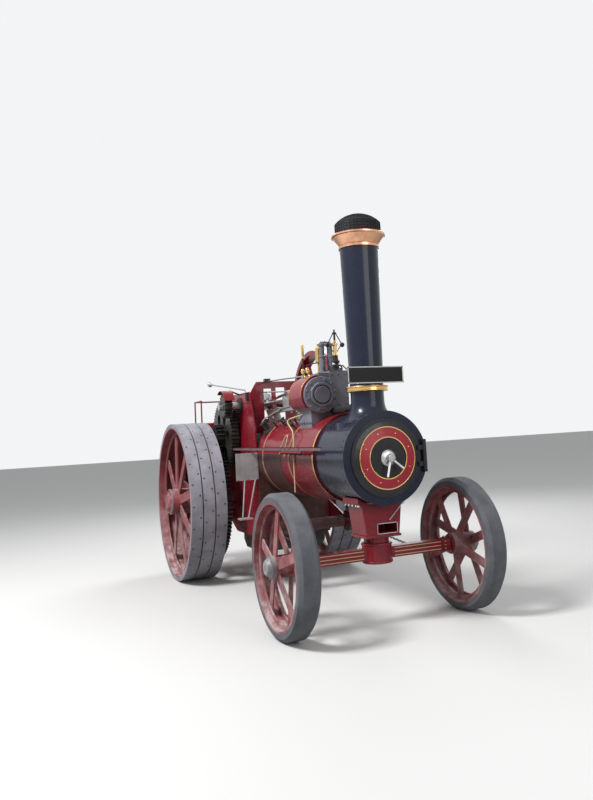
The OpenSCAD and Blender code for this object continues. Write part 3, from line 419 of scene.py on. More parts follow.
def on_ring(centre, axis, radius, count, start=0.0):
    """Points evenly round an axis, each with its outward direction. axis is "X", "Y" or "Z"."""
    first = Vector(UPWARDS) if axis != "Z" else Vector(TO_FRONT)
    for i in range(count):
        outward = Matrix.Rotation(math.radians(start + 360 * i / count), 3, axis) @ first
        yield Vector(centre) + radius * outward, outward


def ball(bm, place, radius, around=16, along=10):
    """A ball at a place."""
    where = Matrix.Translation(place)
    bmesh.ops.create_uvsphere(bm, u_segments=around, v_segments=along, radius=radius, matrix=where)


def rivet(bm, point, direction, radius):
    """A snap-head rivet."""
    where = towards(point, direction) @ Matrix.Diagonal((1, 1, 0.62, 1))
    bmesh.ops.create_uvsphere(bm, u_segments=8, v_segments=4, radius=radius, matrix=where)


def cone(bm, where, middle, depth, low, high, segments):
    """A capped cone whose middle stands at a height above a place."""
    bmesh.ops.create_cone(
        bm, cap_ends=True, segments=segments, radius1=low, radius2=high, depth=depth,
        matrix=where @ Matrix.Translation((0, 0, middle)),
    )


def nut(bm, point, direction, radius, stud=True):
    """A hexagon nut, with the end of its stud unless it is a plain screw head."""
    height = radius * 0.9
    where = towards(point, direction)
    cone(bm, where, height / 2, height, radius, radius * 0.94, 6)
    if stud:
        cone(bm, where, height * 1.25, height * 0.5, radius * 0.5, radius * 0.42, 8)


def bar(bm, start, end, radius, segments=10):
    """A round bar between two points."""
    along = Vector(end) - Vector(start)
    cone(bm, towards(start, along), along.length / 2, along.length, radius, radius, segments)


def block(bm, low, high):
    """A box between two corners."""
    low, high = Vector(low), Vector(high)
    where = Matrix.Translation((low + high) / 2) @ Matrix.Diagonal((*(high - low), 1))
    return bmesh.ops.create_cube(bm, size=1.0, matrix=where)["verts"]


def turned(bm, outline, where, steps=48):
    """A turned shape: outline pairs of radius and height, spun round its own Z axis and placed."""
    before = set(bm.verts)
    points = [bm.verts.new((radius, 0, height)) for radius, height in outline]
    edges = [bm.edges.new(ends) for ends in zip(points, points[1:])]
    spin(bm, points + edges, (0, 0, 1), steps)
    bmesh.ops.transform(bm, matrix=where, verts=[v for v in bm.verts if v not in before])


def spin(bm, geometry, axis, steps):
    """Spins an outline once round an axis through the origin."""
    bmesh.ops.spin(
        bm, geom=geometry, cent=(0, 0, 0), axis=axis, angle=math.tau, steps=steps, use_merge=True
    )


def lathe(bm, x, y, outline, steps=24):
    """A turned fitting that stands upright: outline pairs of radius and height above the ground."""
    turned(bm, outline, Matrix.Translation((x, y, 0)), steps)


def tube(bm, points, radius, sides=8):
    """A bent tube: short bars that meet in balls at the bends."""
    for first, second in zip(points, points[1:]):
        bar(bm, first, second, radius, sides)
    for point in points[1:-1]:
        ball(bm, point, radius, sides, 4)


def rivet_row(bm, start, end, direction, size=0.008, step=0.075, inset=0.0):
    """Rivets at even steps along a line."""
    start, end = Vector(start), Vector(end)
    length = (end - start).length
    run = length - 2 * inset
    count = max(1, round(run / step))
    for i in range(count + 1):
        rivet(bm, start.lerp(end, (inset + run * i / count) / length), direction, size)


def cut(bm, place, away, clear=True):
    """Cuts everything at a plane, and clears what lies on its far side."""
    everything = bm.verts[:] + bm.edges[:] + bm.faces[:]
    bmesh.ops.bisect_plane(bm, geom=everything, plane_co=place, plane_no=away, clear_outer=clear)


def close_holes(bm):
    """Fills every open rim."""
    bmesh.ops.holes_fill(bm, edges=[e for e in bm.edges if e.is_boundary])


def moved_points(made):
    """The points among what an extrusion made."""
    return [v for v in made["geom"] if isinstance(v, bmesh.types.BMVert)]


def settle(bm, name, slot, body="root", material=None, bevel=0.0):
    """Turns a bmesh into a piece in its slot's finish, or another, that rides on a body if it has one."""
    bmesh.ops.remove_doubles(bm, verts=bm.verts, dist=0.00002)
    bmesh.ops.recalc_face_normals(bm, faces=bm.faces)
    mesh = bpy.data.meshes.new(name)
    bm.to_mesh(mesh)
    bm.free()
    mesh.materials.append(material or SLOT_FINISH[slot])
    mesh.shade_smooth()
    mesh.set_sharp_from_angle(angle=math.radians(35))
    piece = stand(name, mesh)
    if bevel:
        rounded = piece.modifiers.new("rounded_edges", "BEVEL")
        rounded.width = bevel
        rounded.segments = 2
        rounded.limit_method = "ANGLE"
        rounded.angle_limit = math.radians(40)
    if body:
        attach(piece, body)
    return piece


# Smokebox, door and chimney


def make_smokebox_rivets():
    """A row of rivets at each end of the smokebox."""
    bm = bmesh.new()
    for x in (1.56, 2.098):
        for point, outward in on_ring((x, 0, BOILER.z), "X", SMOKEBOX_R, 44):
            rivet(bm, point, outward, 0.0075)
    settle(bm, "smokebox_rivets", "smokebox_blue")


def make_door_edging():
    """Brass edging of the red ring on the door, and its screws."""
    bm = bmesh.new()
    edging = [(-0.004, -0.008), (-0.004, 0.003), (0, 0.005), (0.004, 0.003), (0.004, -0.014)]
    for radius, x in ((0.175, 2.2088), (0.262, 2.1958)):
        outline = [(radius + step, height) for step, height in edging]
        turned(bm, outline, towards((x, 0, BOILER.z), TO_FRONT), 72)
    for point, _ in on_ring((2.2028, 0, BOILER.z), "X", 0.2185, 8, 22.5):
        rivet(bm, point, TO_FRONT, 0.006)
    settle(bm, "door_ring_edging", "brass", "smokebox_door")


def make_plate_edge():
    """White border of the blank plate in front of the chimney."""
    bm = bmesh.new()
    x, half, low, high, strip = 2.072, 0.27, 2.065, 2.211, 0.009
    front = x + 0.002
    block(bm, (x, -half, low), (front, half, low + strip))
    block(bm, (x, -half, high - strip), (front, half, high))
    for side in (-1, 1):
        block(bm, (x, side * half, low), (front, side * (half - strip), high))
    settle(bm, "plate_white_edge", "plate_black", material=WHITE_EDGE)


def make_arrester_wires():
    """Wire mesh over the spark arrester's dome."""
    bm = bmesh.new()
    base, wall, top, rise, dome_r, clear = 3.424, 0.1, 3.614, 0.09, 0.205, 0.002
    bend = (rise * rise + dome_r * dome_r) / (2 * rise)
    outline = [(dome_r + clear, base + wall * i / 4) for i in range(5)]
    for i in range(1, 9):
        r = dome_r * (1 - i / 9)
        outline.append((r + clear, top - bend + math.sqrt(bend * bend - r * r) + 0.001))
    turned(bm, outline, Matrix.Translation((CHIMNEY_X, 0, 0)), 40)
    wires = settle(bm, "arrester_wires", "wire_mesh").modifiers.new("wires", "WIREFRAME")
    wires.thickness = 0.005
    wires.use_replace = True


def make_chimney_band():
    """The brass moulding under the chimney, in place of the plain solid."""
    bm = bmesh.new()
    outline = [
        (0.15, 2.003), (0.184, 2.003), (0.188, 2.007), (0.188, 2.013), (0.184, 2.017),
        (0.184, 2.034), (0.19, 2.038), (0.191, 2.044), (0.188, 2.049), (0.15, 2.051),
    ]
    lathe(bm, CHIMNEY_X, 0, outline, 96)
    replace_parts(settle(bm, "chimney_moulding", "brass"), "chimney_band")


# Boiler


def hoop(bm, x, width, inner, outer):
    """A band round the boiler. inner and outer count from the barrel's surface."""
    low, high = BARREL_R + inner, BARREL_R + outer
    outline = [(low, 0), (high, 0), (high, width), (low, width)]
    turned(bm, outline, towards((x, 0, BOILER.z), TO_FRONT), 96)


def make_boiler_lines():
    """Cream lines at the edges of the boiler bands, and the brass band at the smokebox joint."""
    lines = bmesh.new()
    for x, width in ((0.898, 0.032), (0.118, 0.03)):
        for edge in (x + 0.001, x + width - 0.007):
            hoop(lines, edge, 0.006, 0, 0.0036)
    settle(lines, "boiler_band_lines", "cream")
    band = bmesh.new()
    hoop(band, 1.5105, 0.025, -0.002, 0.004)
    settle(band, "smokebox_joint_band", "brass")


def boiler_top(y):
    """Height of the barrel's upper side at a distance from the middle."""
    return BOILER.z + math.sqrt(BARREL_R * BARREL_R - y * y)


def make_drain_pipes():
    """Cream pipes from the cylinder down the boiler's right side, with their clips."""
    bm = bmesh.new()
    long_run = [
        (1.06, -0.262, 1.85), (1.04, -0.3, 1.846), (0.84, -0.345, 1.815), (0.79, -0.352, 1.8),
        (0.8, -0.362, 1.78), (1.000, -0.388, 1.69), (1.05, -0.402, 1.62),
        (1.072, -0.4185, 1.5), (1.072, -0.4185, 1.11),
    ]
    loop = [
        (0.706, -0.4175, 1.47), (0.716, -0.412, 1.54), (0.8, -0.39, 1.64), (0.847, -0.384, 1.657),
        (0.858, -0.392, 1.63), (0.826, -0.4175, 1.5), (0.826, -0.4175, 1.44),
    ]
    tube(bm, long_run, 0.0062)
    tube(bm, loop, 0.0055)
    for x, z in ((0.706, 1.48), (0.826, 1.455), (1.072, 1.43), (1.072, 1.49)):
        block(bm, (x - 0.012, -0.426, z - 0.006), (x + 0.012, -0.404, z + 0.006))
    settle(bm, "drain_pipes", "cream")


def make_control_rods():
    """Bright rods along the boiler's top, the long rod with its ball, and the boiler's plug."""
    bm = bmesh.new()
    block(bm, (0.935, -0.24, 2.18), (0.965, -0.212, 2.236))
    link = [(0.03, -0.366, 1.812), (0.06, -0.34, 1.85), (0.35, -0.27, 1.93), (0.905, -0.27, 1.96)]
    for points, radius in (
        ([(0.95, -0.226, 2.226), (0.298, -0.205, 2.254), (-0.226, -0.2, 2.272)], 0.008),
        ([(-0.226, -0.3, 2.15), (0.905, -0.3, 2.085)], 0.008),
        ([(-0.22, -0.15, 1.866), (-0.165, -0.15, 1.774), (0.02, -0.3, 1.79)], 0.01),
        (link, 0.007),
    ):
        tube(bm, points, radius)
    bend = (-0.3, -0.44, 2.184)
    bar(bm, (-0.265, -0.44, 2.15), bend, 0.008)
    bar(bm, bend, (-1.34, -0.56, 2.33), 0.008)
    ball(bm, (-1.355, -0.562, 2.332), 0.032, 20, 12)
    bar(bm, (0.152, -0.405, 1.44), (0.152, -0.4165, 1.44), 0.02, 24)
    settle(bm, "control_rods", "bright_steel")


def make_boiler_studs():
    """The pump casting, studs and their pipe on the boiler's top, and the control rods' brackets."""
    bm = bmesh.new()
    block(bm, (-0.26, -0.232, 2.262), (-0.2, -0.168, 2.302))
    block(bm, (-0.275, -0.45, 2.06), (-0.235, -0.4205, 2.155))
    pump = [
        (0, -0.01), (0.062, -0.006), (0.062, 0.01), (0.034, 0.02), (0.032, 0.09), (0.042, 0.098),
        (0.042, 0.116), (0.02, 0.126), (0, 0.126),
    ]
    turned(bm, pump, towards((0.03, -0.29, boiler_top(0.29)), (0, -0.6, 0.8)), 24)
    for x, y, reach in (
        (0.18, -0.25, 0.06), (0.25, -0.18, 0.05), (0.4, -0.24, 0.07), (0.52, -0.21, 0.048),
        (0.64, -0.26, 0.064), (0.74, -0.23, 0.05), (0.83, -0.285, 0.06),
    ):
        base = Vector((x, y, boiler_top(y)))
        stud = [
            (0, -0.004), (0.022, -0.003), (0.022, 0.008), (0.01, 0.012), (0.01, reach),
            (0.016, reach + 0.003), (0.016, reach + 0.014), (0, reach + 0.016),
        ]
        turned(bm, stud, towards(base, base - Vector((x, 0, BOILER.z))), 12)
    pipe_run = [
        (0.18, -0.292, 1.802), (0.4, -0.286, 1.817), (0.64, -0.307, 1.796), (0.905, -0.29, 1.85),
        (0.965, -0.285, 1.85),
    ]
    tube(bm, pipe_run, 0.006)
    settle(bm, "boiler_top_fittings", "dark_iron")


def make_boiler_side_shade_sheet():
    """A dark brown sheet below the side bar: its oil stains are real, and its darkness is partly painted
    shade under the bar.
    """
    bm = bmesh.new()
    hoop(bm, -0.052, 0.74, 0, 0.0022)
    cut(bm, (0, 0, 1.47), UPWARDS)
    cut(bm, (0, 0, 0), TO_LEFT)
    close_holes(bm)
    settle(bm, "boiler_side_painted_shade_sheet", "engine_red", material=SHADE_AND_OIL_SHEET)


# Wheels


def wheel_rivets(
    bm, axle, side, middle, rows, rim_r, count, rim_size, angles, row_step, spokes, spoke_r, size
):
    """Rivets inside a rim, and those at the outer ends of its two rows of spokes."""
    for row in rows:
        for point, outward in on_ring((axle.x, side * (middle + row), axle.z), "Y", rim_r, count):
            rivet(bm, point, -outward, rim_size)
    for facing, row_angles in zip((1, -1), angles):
        for i in range(spokes):
            for angle in row_angles:
                turn = math.radians(angle + 360 / spokes * i)
                point = axle + spoke_r * Vector((math.cos(turn), 0, -math.sin(turn)))
                point.y = side * (middle + facing * row_step)
                rivet(bm, point, (0, side * facing, 0), size)


def make_front_wheel_fasteners(name, side):
    """Rivets of the rim and spokes, and the grey hub cap with its screws, of a front wheel."""
    bm = bmesh.new()
    wheel_rivets(
        bm, FRONT_AXLE, side, middle=0.863, rows=(-0.07, 0.07), rim_r=0.5045, count=40, rim_size=0.007,
        angles=((48.5, 54, 59.5), (12.5, 18, 23.5)), row_step=0.0495, spokes=5, spoke_r=0.482, size=0.009,
    )
    body = "front_wheel_" + name
    settle(bm, body + "_rivets", "wheel_red", body)
    hub = bmesh.new()
    outer = side * 0.99
    cap = [
        (0.0935, -0.034), (0.0935, -0.002), (0.088, 0.002), (0.0755, 0.002), (0.0755, 0.003),
        (0.062, 0.029), (0.054, 0.037), (0.03, 0.037), (0.026, 0.0365), (0, 0.0365),
    ]
    turned(hub, cap, towards((FRONT_AXLE.x, outer, FRONT_AXLE.z), (0, side, 0)))
    for point, _ in on_ring((FRONT_AXLE.x, outer + side * 0.002, FRONT_AXLE.z), "Y", 0.083, 8):
        nut(hub, point, (0, side, 0), 0.0065, stud=False)
    settle(hub, body + "_hub_cap", "light_grey", body)


def make_rear_wheel_fasteners(name, side):
    """Rivets of the rim and spokes, hub nuts and hoop bolts of a rear wheel."""
    bm = bmesh.new()
    middle = 0.8675
    wheel_rivets(
        bm, REAR_AXLE, side, middle, rows=(-0.168, -0.076, 0.076, 0.168), rim_r=0.8695, count=56,
        rim_size=0.01, angles=((29, 32, 35, 38), (6.5, 9.5, 12.5, 15.5)), row_step=0.1285, spokes=8,
        spoke_r=0.834, size=0.012,
    )
    body = "rear_wheel_" + name
    for point, _ in on_ring((REAR_AXLE.x, side * 1.114, REAR_AXLE.z), "Y", 0.13, 10):
        nut(bm, point, (0, side, 0), 0.012)
    settle(bm, body + "_rivets", "wheel_red", body)
    bolts = bmesh.new()
    for ring, first in ((-0.1375, 0), (0, 4), (0.1375, 8)):
        for edge, turn in ((-0.038, 0), (0.038, 7.5)):
            centre = (REAR_AXLE.x, side * (middle + ring + edge), REAR_AXLE.z)
            for point, outward in on_ring(centre, "Y", 0.9296, 24, first + turn):
                cone(bolts, towards(point, outward), 0, 0.0016, 0.011, 0.01, 10)
    settle(bolts, body + "_hoop_bolts", "hoop_grey", body, RUSTY_BOLT)


def make_hub_covers(name, side):
    """Grey steel cap of a front hub and end ring of a rear one."""
    cap = [
        (0.08, -0.01), (0.0925, -0.01), (0.0935, -0.002), (0.088, 0.002), (0.0755, 0.0025),
        (0.074, 0.004), (0.066, 0.026), (0.0525, 0.0368), (0, 0.0368),
    ]
    ring = [
        (0.148, -0.014), (0.1512, -0.014), (0.1516, -0.002), (0.148, 0.0012), (0.139, 0.0012),
        (0.139, -0.001),
    ]
    for which, axle, end, outline in (("front", FRONT_AXLE, 0.99, cap), ("rear", REAR_AXLE, 1.114, ring)):
        bm = bmesh.new()
        turned(bm, outline, towards((axle.x, side * end, axle.z), (0, side, 0)))
        body = which + "_wheel_" + name
        settle(bm, which + "_" + name + "_hub_cover", "light_grey", body, HUB_GREY)


def make_wheel_fasteners():
    """The fasteners and hub covers of all four wheels."""
    for name, side in SIDES.items():
        make_front_wheel_fasteners(name, side)
        make_rear_wheel_fasteners(name, side)
        make_hub_covers(name, side)


# Cylinder


def on_cylinder(x):
    """The point on the cylinder's axis at a place along the engine."""
    return Vector((x, CYLINDER_Y, CRANK.z))


def make_cylinder_covers():
    """Front cover with its ring, boss and four lugs, and the back cover with the piston rod's gland."""
    bm = bmesh.new()
    front = [
        (0, 0), (0.174, 0), (0.174, 0.024), (0.17, 0.029), (0.119, 0.031), (0.116, 0.05),
        (0.112, 0.055), (0.096, 0.055), (0.092, 0.05), (0.091, 0.026), (0.083, 0.026),
        (0.082, 0.052), (0.078, 0.058), (0, 0.058), (0, 0),
    ]
    rod_r = 0.0225
    back = [(rod_r, 0), (0.04, 0), (0.04, 0.006), (0.108, 0.01), (0.13, 0.03), (rod_r, 0.03), (rod_r, 0)]
    where = towards(on_cylinder(CYLINDER_FRONT), TO_FRONT)
    turned(bm, front, where, 64)
    lug = Matrix.Translation((0.119, 0, 0.034)) @ Matrix.Diagonal((0.036, 0.076, 0.03, 1))
    for turn in range(4):
        quarter = Matrix.Rotation(math.radians(90 * turn), 4, "Z")
        bmesh.ops.create_cube(bm, size=1.0, matrix=where @ quarter @ lug)
    turned(bm, back, towards(on_cylinder(CYLINDER_BACK), TO_FRONT))
    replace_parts(settle(bm, "cylinder_covers", "cylinder_grey", bevel=0.0015), "cylinder_cover")


def make_cylinder_fasteners():
    """Nuts of the covers, the valve chest and the saddle, and the cladding's brass bands."""
    bm = bmesh.new()
    for point, _ in on_ring(on_cylinder(1.3185), "X", 0.151, 12, 15):
        nut(bm, point, TO_FRONT, 0.013)
    for point, _ in on_ring(on_cylinder(0.908), "X", 0.08, 8, 22.5):
        nut(bm, point, TO_BACK, 0.01)
    for x in (0.955, 1.02, 1.085, 1.15, 1.215, 1.265):
        nut(bm, (x, -0.2905, 1.76), TO_RIGHT, 0.012)
        nut(bm, (x, 0.1805, 1.8), TO_LEFT, 0.012)
    along = [(y, z) for y in (-0.075, 0.0, 0.075) for z in (1.92, 2.22)]
    upright = [(y, z) for z in (1.99, 2.07, 2.145) for y in (-0.078, 0.092)]
    for y, z in along + upright:
        nut(bm, (1.28, y, z), TO_FRONT, 0.011)
    settle(bm, "cylinder_nuts", "cylinder_grey")
    bands = bmesh.new()
    radius = 0.1905
    for x in (0.952, 1.262):
        arc = []
        for i in range(17):
            turn = math.radians(182 - 8 * i)
            arc.append(on_cylinder(x) + radius * Vector((0, math.cos(turn), math.sin(turn))))
        tube(bands, [point for point in arc if point.z > 1.905 and point.y < -0.215], 0.0035, 6)
    settle(bands, "cladding_bands", "brass")


def make_safety_valves():
    """Two grey spring columns joined by a lever on top, in place of the plain solids."""
    bm = bmesh.new()
    x = 1.036
    column = [
        (0, CHEST_TOP), (0.044, CHEST_TOP), (0.044, 2.262), (0.031, 2.27), (0.031, 2.4), (0.036, 2.406),
        (0.036, 2.416), (0.028, 2.422), (0.027, 2.512), (0.035, 2.518), (0.035, 2.542), (0.018, 2.552),
        (0, 2.553),
    ]
    for y in (-0.052, 0.034):
        lathe(bm, x, y, column)
        for point, _ in on_ring((x, y, 2.262), "Z", 0.0375, 6):
            nut(bm, point, UPWARDS, 0.0052, stud=False)
        block(bm, (x + 0.028, y - 0.012, 2.3), (x + 0.044, y + 0.012, 2.372))
    block(bm, (x - 0.008, -0.066, 2.55), (x + 0.008, 0.048, 2.562))
    tube(bm, [(x, -0.009, 2.552), (x - 0.015, -0.009, 2.566), (0.93, -0.009, 2.525)], 0.007)
    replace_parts(settle(bm, "safety_valve_columns", "cylinder_grey"), "safety_valves")


def make_governor():
    """Governor: dark base and arms with balls, and a brass column."""
    dark = bmesh.new()
    x, y, arm_y = 1.2, 0.02, 0.074
    base = [
        (0, CHEST_TOP), (0.06, CHEST_TOP), (0.06, 2.262), (0.034, 2.272), (0.028, 2.33), (0.04, 2.338),
        (0.04, 2.352), (0.026, 2.362), (0.024, 2.404), (0, 2.404),
    ]
    head = [
        (0, 2.556), (0.01, 2.556), (0.01, 2.612), (0.022, 2.616), (0.022, 2.63), (0.008, 2.638),
        (0.008, 2.66), (0, 2.664),
    ]
    column = [
        (0, 2.404), (0.03, 2.404), (0.03, 2.414), (0.02, 2.42), (0.019, 2.5), (0.026, 2.506),
        (0.026, 2.526), (0.017, 2.534), (0.014, 2.552), (0, 2.557),
    ]
    lathe(dark, x, y, base)
    lathe(dark, x, y, head)
    for side in (-1, 1):
        tube(dark, [(x, y + side * 0.016, 2.622), (x, y + side * arm_y, 2.52)], 0.005)
        tube(dark, [(x, y + side * 0.02, 2.44), (x, y + side * arm_y, 2.52)], 0.004)
        ball(dark, (x, y + side * 0.08, 2.51), 0.024, 20, 12)
    tube(dark, [(x + 0.028, y, 2.3), (x + 0.052, y + 0.05, 2.3), (x + 0.052, y + 0.09, 2.262)], 0.006)
    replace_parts(settle(dark, "governor_base_and_balls", "dark_iron"), "governor")
    brass = bmesh.new()
    lathe(brass, x, y, column)
    settle(brass, "governor_column", "brass")


def make_cylinder_pipework():
    """Dark pipes and small castings round the cylinder, with their two bright fittings."""
    dark = bmesh.new()
    lubricator_foot = [(0, 2.2), (0.02, 2.2), (0.02, 2.222), (0.009, 2.23), (0.008, 2.404), (0, 2.404)]
    oiler_foot = [
        (0, CHEST_TOP), (0.024, CHEST_TOP), (0.024, 2.262), (0.01, 2.27), (0.01, 2.33), (0, 2.33),
    ]
    knob_foot = [
        (0, CHEST_TOP), (0.018, CHEST_TOP), (0.018, 2.256), (0.007, 2.262), (0.007, 2.3), (0, 2.302),
    ]
    oiler = [(0, 2.328), (0.02, 2.33), (0.02, 2.34), (0.015, 2.35), (0.01, 2.384), (0, 2.388)]
    exhaust = [(1.25, -0.06, 1.86), (1.45, -0.06, 1.862), (1.57, -0.063, 1.868), (1.76, -0.07, 1.88)]
    oiler_x, oiler_y, knob_x, knob_y = 1.115, 0.08, 1.238, -0.02
    lathe(dark, 0.945, -0.22, lubricator_foot)
    lathe(dark, oiler_x, oiler_y, oiler_foot)
    bent = [(1.19, 0.088, CHEST_TOP), (1.19, 0.088, 2.29), (1.165, 0.086, 2.312), (1.118, 0.08, 2.316)]
    tube(dark, bent, 0.007)
    tube(dark, [(0.945, -0.196, 2.33), (0.975, -0.12, 2.352), (1.03, -0.078, 2.352)], 0.006)
    block(dark, (1.14, 0.075, CHEST_TOP), (1.165, 0.1, 2.286))
    for x in (1.105, 1.15, 1.235):
        nut(dark, (x, -0.062, 2.25), UPWARDS, 0.013)
    tube(dark, exhaust, 0.032, 20)
    lathe(dark, knob_x, knob_y, knob_foot)
    settle(dark, "cylinder_pipework", "dark_iron")
    bright = bmesh.new()
    ball(bright, (knob_x, knob_y, 2.315), 0.016)
    lathe(bright, oiler_x, oiler_y, oiler)
    settle(bright, "cylinder_bright_fittings", "bright_steel")


def make_cylinder_brass():
    """Brass head of the lubricator, oil cups on the cladding and drain cocks below it."""
    bm = bmesh.new()
    lubricator = [
        (0, 2.403), (0.016, 2.404), (0.016, 2.414), (0.01, 2.42), (0.012, 2.426), (0.013, 2.5),
        (0.016, 2.504), (0.016, 2.516), (0.012, 2.52), (0.011, 2.545), (0.006, 2.552), (0, 2.553),
    ]
    cup = [
        (0, -0.004), (0.01, -0.002), (0.01, 0.016), (0.007, 0.02), (0.007, 0.034), (0.019, 0.044),
        (0.021, 0.052), (0.021, 0.074), (0.012, 0.082), (0.006, 0.09), (0, 0.091),
    ]
    lathe(bm, 0.945, -0.22, lubricator)
    for x in (1.085, 1.205):
        turned(bm, cup, towards((x, -0.262, 2.2), (0, -0.33, 0.94)), 20)
    for x in (0.975, 1.245):
        bar(bm, (x, -0.235, 1.856), (x, -0.238, 1.812), 0.012, 12)
        bar(bm, (x, -0.268, 1.832), (x, -0.206, 1.832), 0.006, 8)
    settle(bm, "cylinder_oil_cups", "brass")


# Perch, beam and steering chains


def make_perch_saddle():
    """Curved saddle under the smokebox. It stands for the plain perch."""
    bm = bmesh.new()
    back, length = 1.733, 0.31
    arc = []
    for radius, order in ((PERCH_SEAT_R, range(13)), (PERCH_SADDLE_R, range(12, -1, -1))):
        reach = math.asin(0.23 / radius)
        for i in order:
            turn = reach * (i / 6 - 1)
            place = (back, radius * math.sin(turn), BOILER.z - radius * math.cos(turn))
            arc.append(bm.verts.new(place))
    far = bmesh.ops.extrude_face_region(bm, geom=[bm.faces.new(arc)])
    bmesh.ops.translate(bm, vec=(length, 0, 0), verts=moved_points(far))
    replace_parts(settle(bm, "perch_saddle", "engine_red", bevel=0.004), "perch_bracket")


def make_perch_neck():
    """Neck with its front window, foot flange and king pin, and its bright nuts and window frame."""
    neck = bmesh.new()
    low_y, high_y, low_z, high_z = -0.05, 0.136, 0.779, 0.858
    for v in block(neck, (1.753, -0.19, 0.764), (2.033, 0.19, 1.0165)):
        if v.co.z < 0.8:
            v.co.y *= 0.158 / 0.19
    for y in (low_y, high_y):
        cut(neck, (0, y, 0), TO_LEFT, clear=False)
    for z in (low_z, high_z):
        cut(neck, (0, 0, z), UPWARDS, clear=False)
    window = []
    for face in neck.faces:
        x, y, z = face.calc_center_median()
        if x > 2.03 and low_y < y < high_y and low_z < z < high_z:
            window.append(face)
    bmesh.ops.delete(neck, geom=window, context="FACES")
    deep = bmesh.ops.extrude_edge_only(neck, edges=[e for e in neck.edges if e.is_boundary])
    bmesh.ops.translate(neck, vec=(-0.23, 0, 0), verts=moved_points(deep))
    close_holes(neck)
    block(neck, (1.738, -0.17, 0.745), (2.043, 0.17, 0.765))
    foot = [(0, 0.6906), (0.11, 0.6906), (0.11, 0.72), (0.118, 0.746), (0, 0.746)]
    pin = [(0, 0.5202), (0.034, 0.5202), (0.0375, 0.524), (0.0375, 0.692), (0, 0.692)]
    lathe(neck, FRONT_AXLE.x, 0, foot, 48)
    lathe(neck, FRONT_AXLE.x, 0, pin, 32)
    settle(neck, "perch_neck", "engine_red", bevel=0.004)
    steel = bmesh.new()
    edge = 0.006
    for y0, z0, y1, z1 in (
        (low_y - edge, low_z - edge, low_y, high_z + edge),
        (high_y, low_z - edge, high_y + edge, high_z + edge),
        (low_y - edge, low_z - edge, high_y + edge, low_z),
        (low_y - edge, high_z, high_y + edge, high_z + edge),
    ):
        block(steel, (2.031, y0, z0), (2.036, y1, z1))
    for x in (1.765, 1.835, 1.905, 1.975, 2.02):
        for y in (-0.212, 0.212):
            drop = math.sqrt(PERCH_SADDLE_R * PERCH_SADDLE_R - y * y)
            nut(steel, (x, y, BOILER.z - drop), (0, y, -drop), 0.012)
    for x in (1.765, 2.015):
        for y in (-0.14, 0.14):
            nut(steel, (x, y, 0.765), UPWARDS, 0.011)
    bar(steel, (2.037, 0.063, 0.886), (2.039, 0.214, 1.036), 0.007)
    settle(steel, "perch_nuts", "bright_steel")


def make_axle_details():
    """Cream lining, end clips and collar rings of the front axle beam."""
    lines = bmesh.new()
    for side in (-1, 1):
        for z in (0.566, 0.5975, 0.629):
            block(lines, (1.9405, side * 0.15, z - 0.003), (1.9425, side * 0.722, z + 0.003))
    settle(lines, "axle_lining", "cream", "front_axle")
    clips = bmesh.new()
    for side in (-1, 1):
        for y in (0.64, 0.7):
            block(clips, (1.839, side * y - 0.018, 0.544), (1.947, side * y + 0.018, 0.651))
            for x in (1.862, 1.924):
                nut(clips, (x, side * y, 0.651), UPWARDS, 0.011)
    collar = [(0.1295, 0), (0.134, 0), (0.136, 0.003), (0.136, 0.011), (0.134, 0.014), (0.1295, 0.014)]
    for z in (0.524, 0.672):
        lathe(clips, FRONT_AXLE.x, 0, [(radius, z + height) for radius, height in collar], 64)
    settle(clips, "axle_clips", "engine_red", "front_axle")


def make_steering_chain(name, side):
    """A chain of oval links from the barrel to the axle's lug."""
    start = Vector((0.33, side * 0.336, 0.7 + side * 0.0697))
    end = Vector((1.799, side * 0.42, 0.593))
    pitch, wire_r, link_r, longer = 0.0325, 0.0036, 0.0095, 1.75
    count = int((end - start).length / pitch)
    bm = bmesh.new()
    for i in range(count + 1):
        before = set(bm.verts)
        aside = Matrix.Translation((link_r, 0, 0))
        ring = bmesh.ops.create_circle(bm, segments=6, radius=wire_r, matrix=aside)["verts"]
        edges = list({e for v in ring for e in v.link_edges})
        spin(bm, ring + edges, (0, 1, 0), 10)
        # every other link is turned a quarter, as in a real chain
        around = Matrix.Rotation(math.radians(90 * (i % 2) + 20), 4, "Z")
        placed = towards(start.lerp(end, i / count), end - start) @ around
        where = placed @ Matrix.Diagonal((1, 1, longer, 1))
        bmesh.ops.transform(bm, matrix=where, verts=[v for v in bm.verts if v not in before])
    chain = settle(bm, name + "_steering_chain", "dark_iron", body="")
    # only the front half bends, which keeps the chain close to a straight line at full lock
    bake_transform(chain)
    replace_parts(chain, "steering_chains")


def make_steering_chains():
    """The chains of both sides."""
    for name, side in SIDES.items():
        make_steering_chain(name, side)


# Side bar and guard


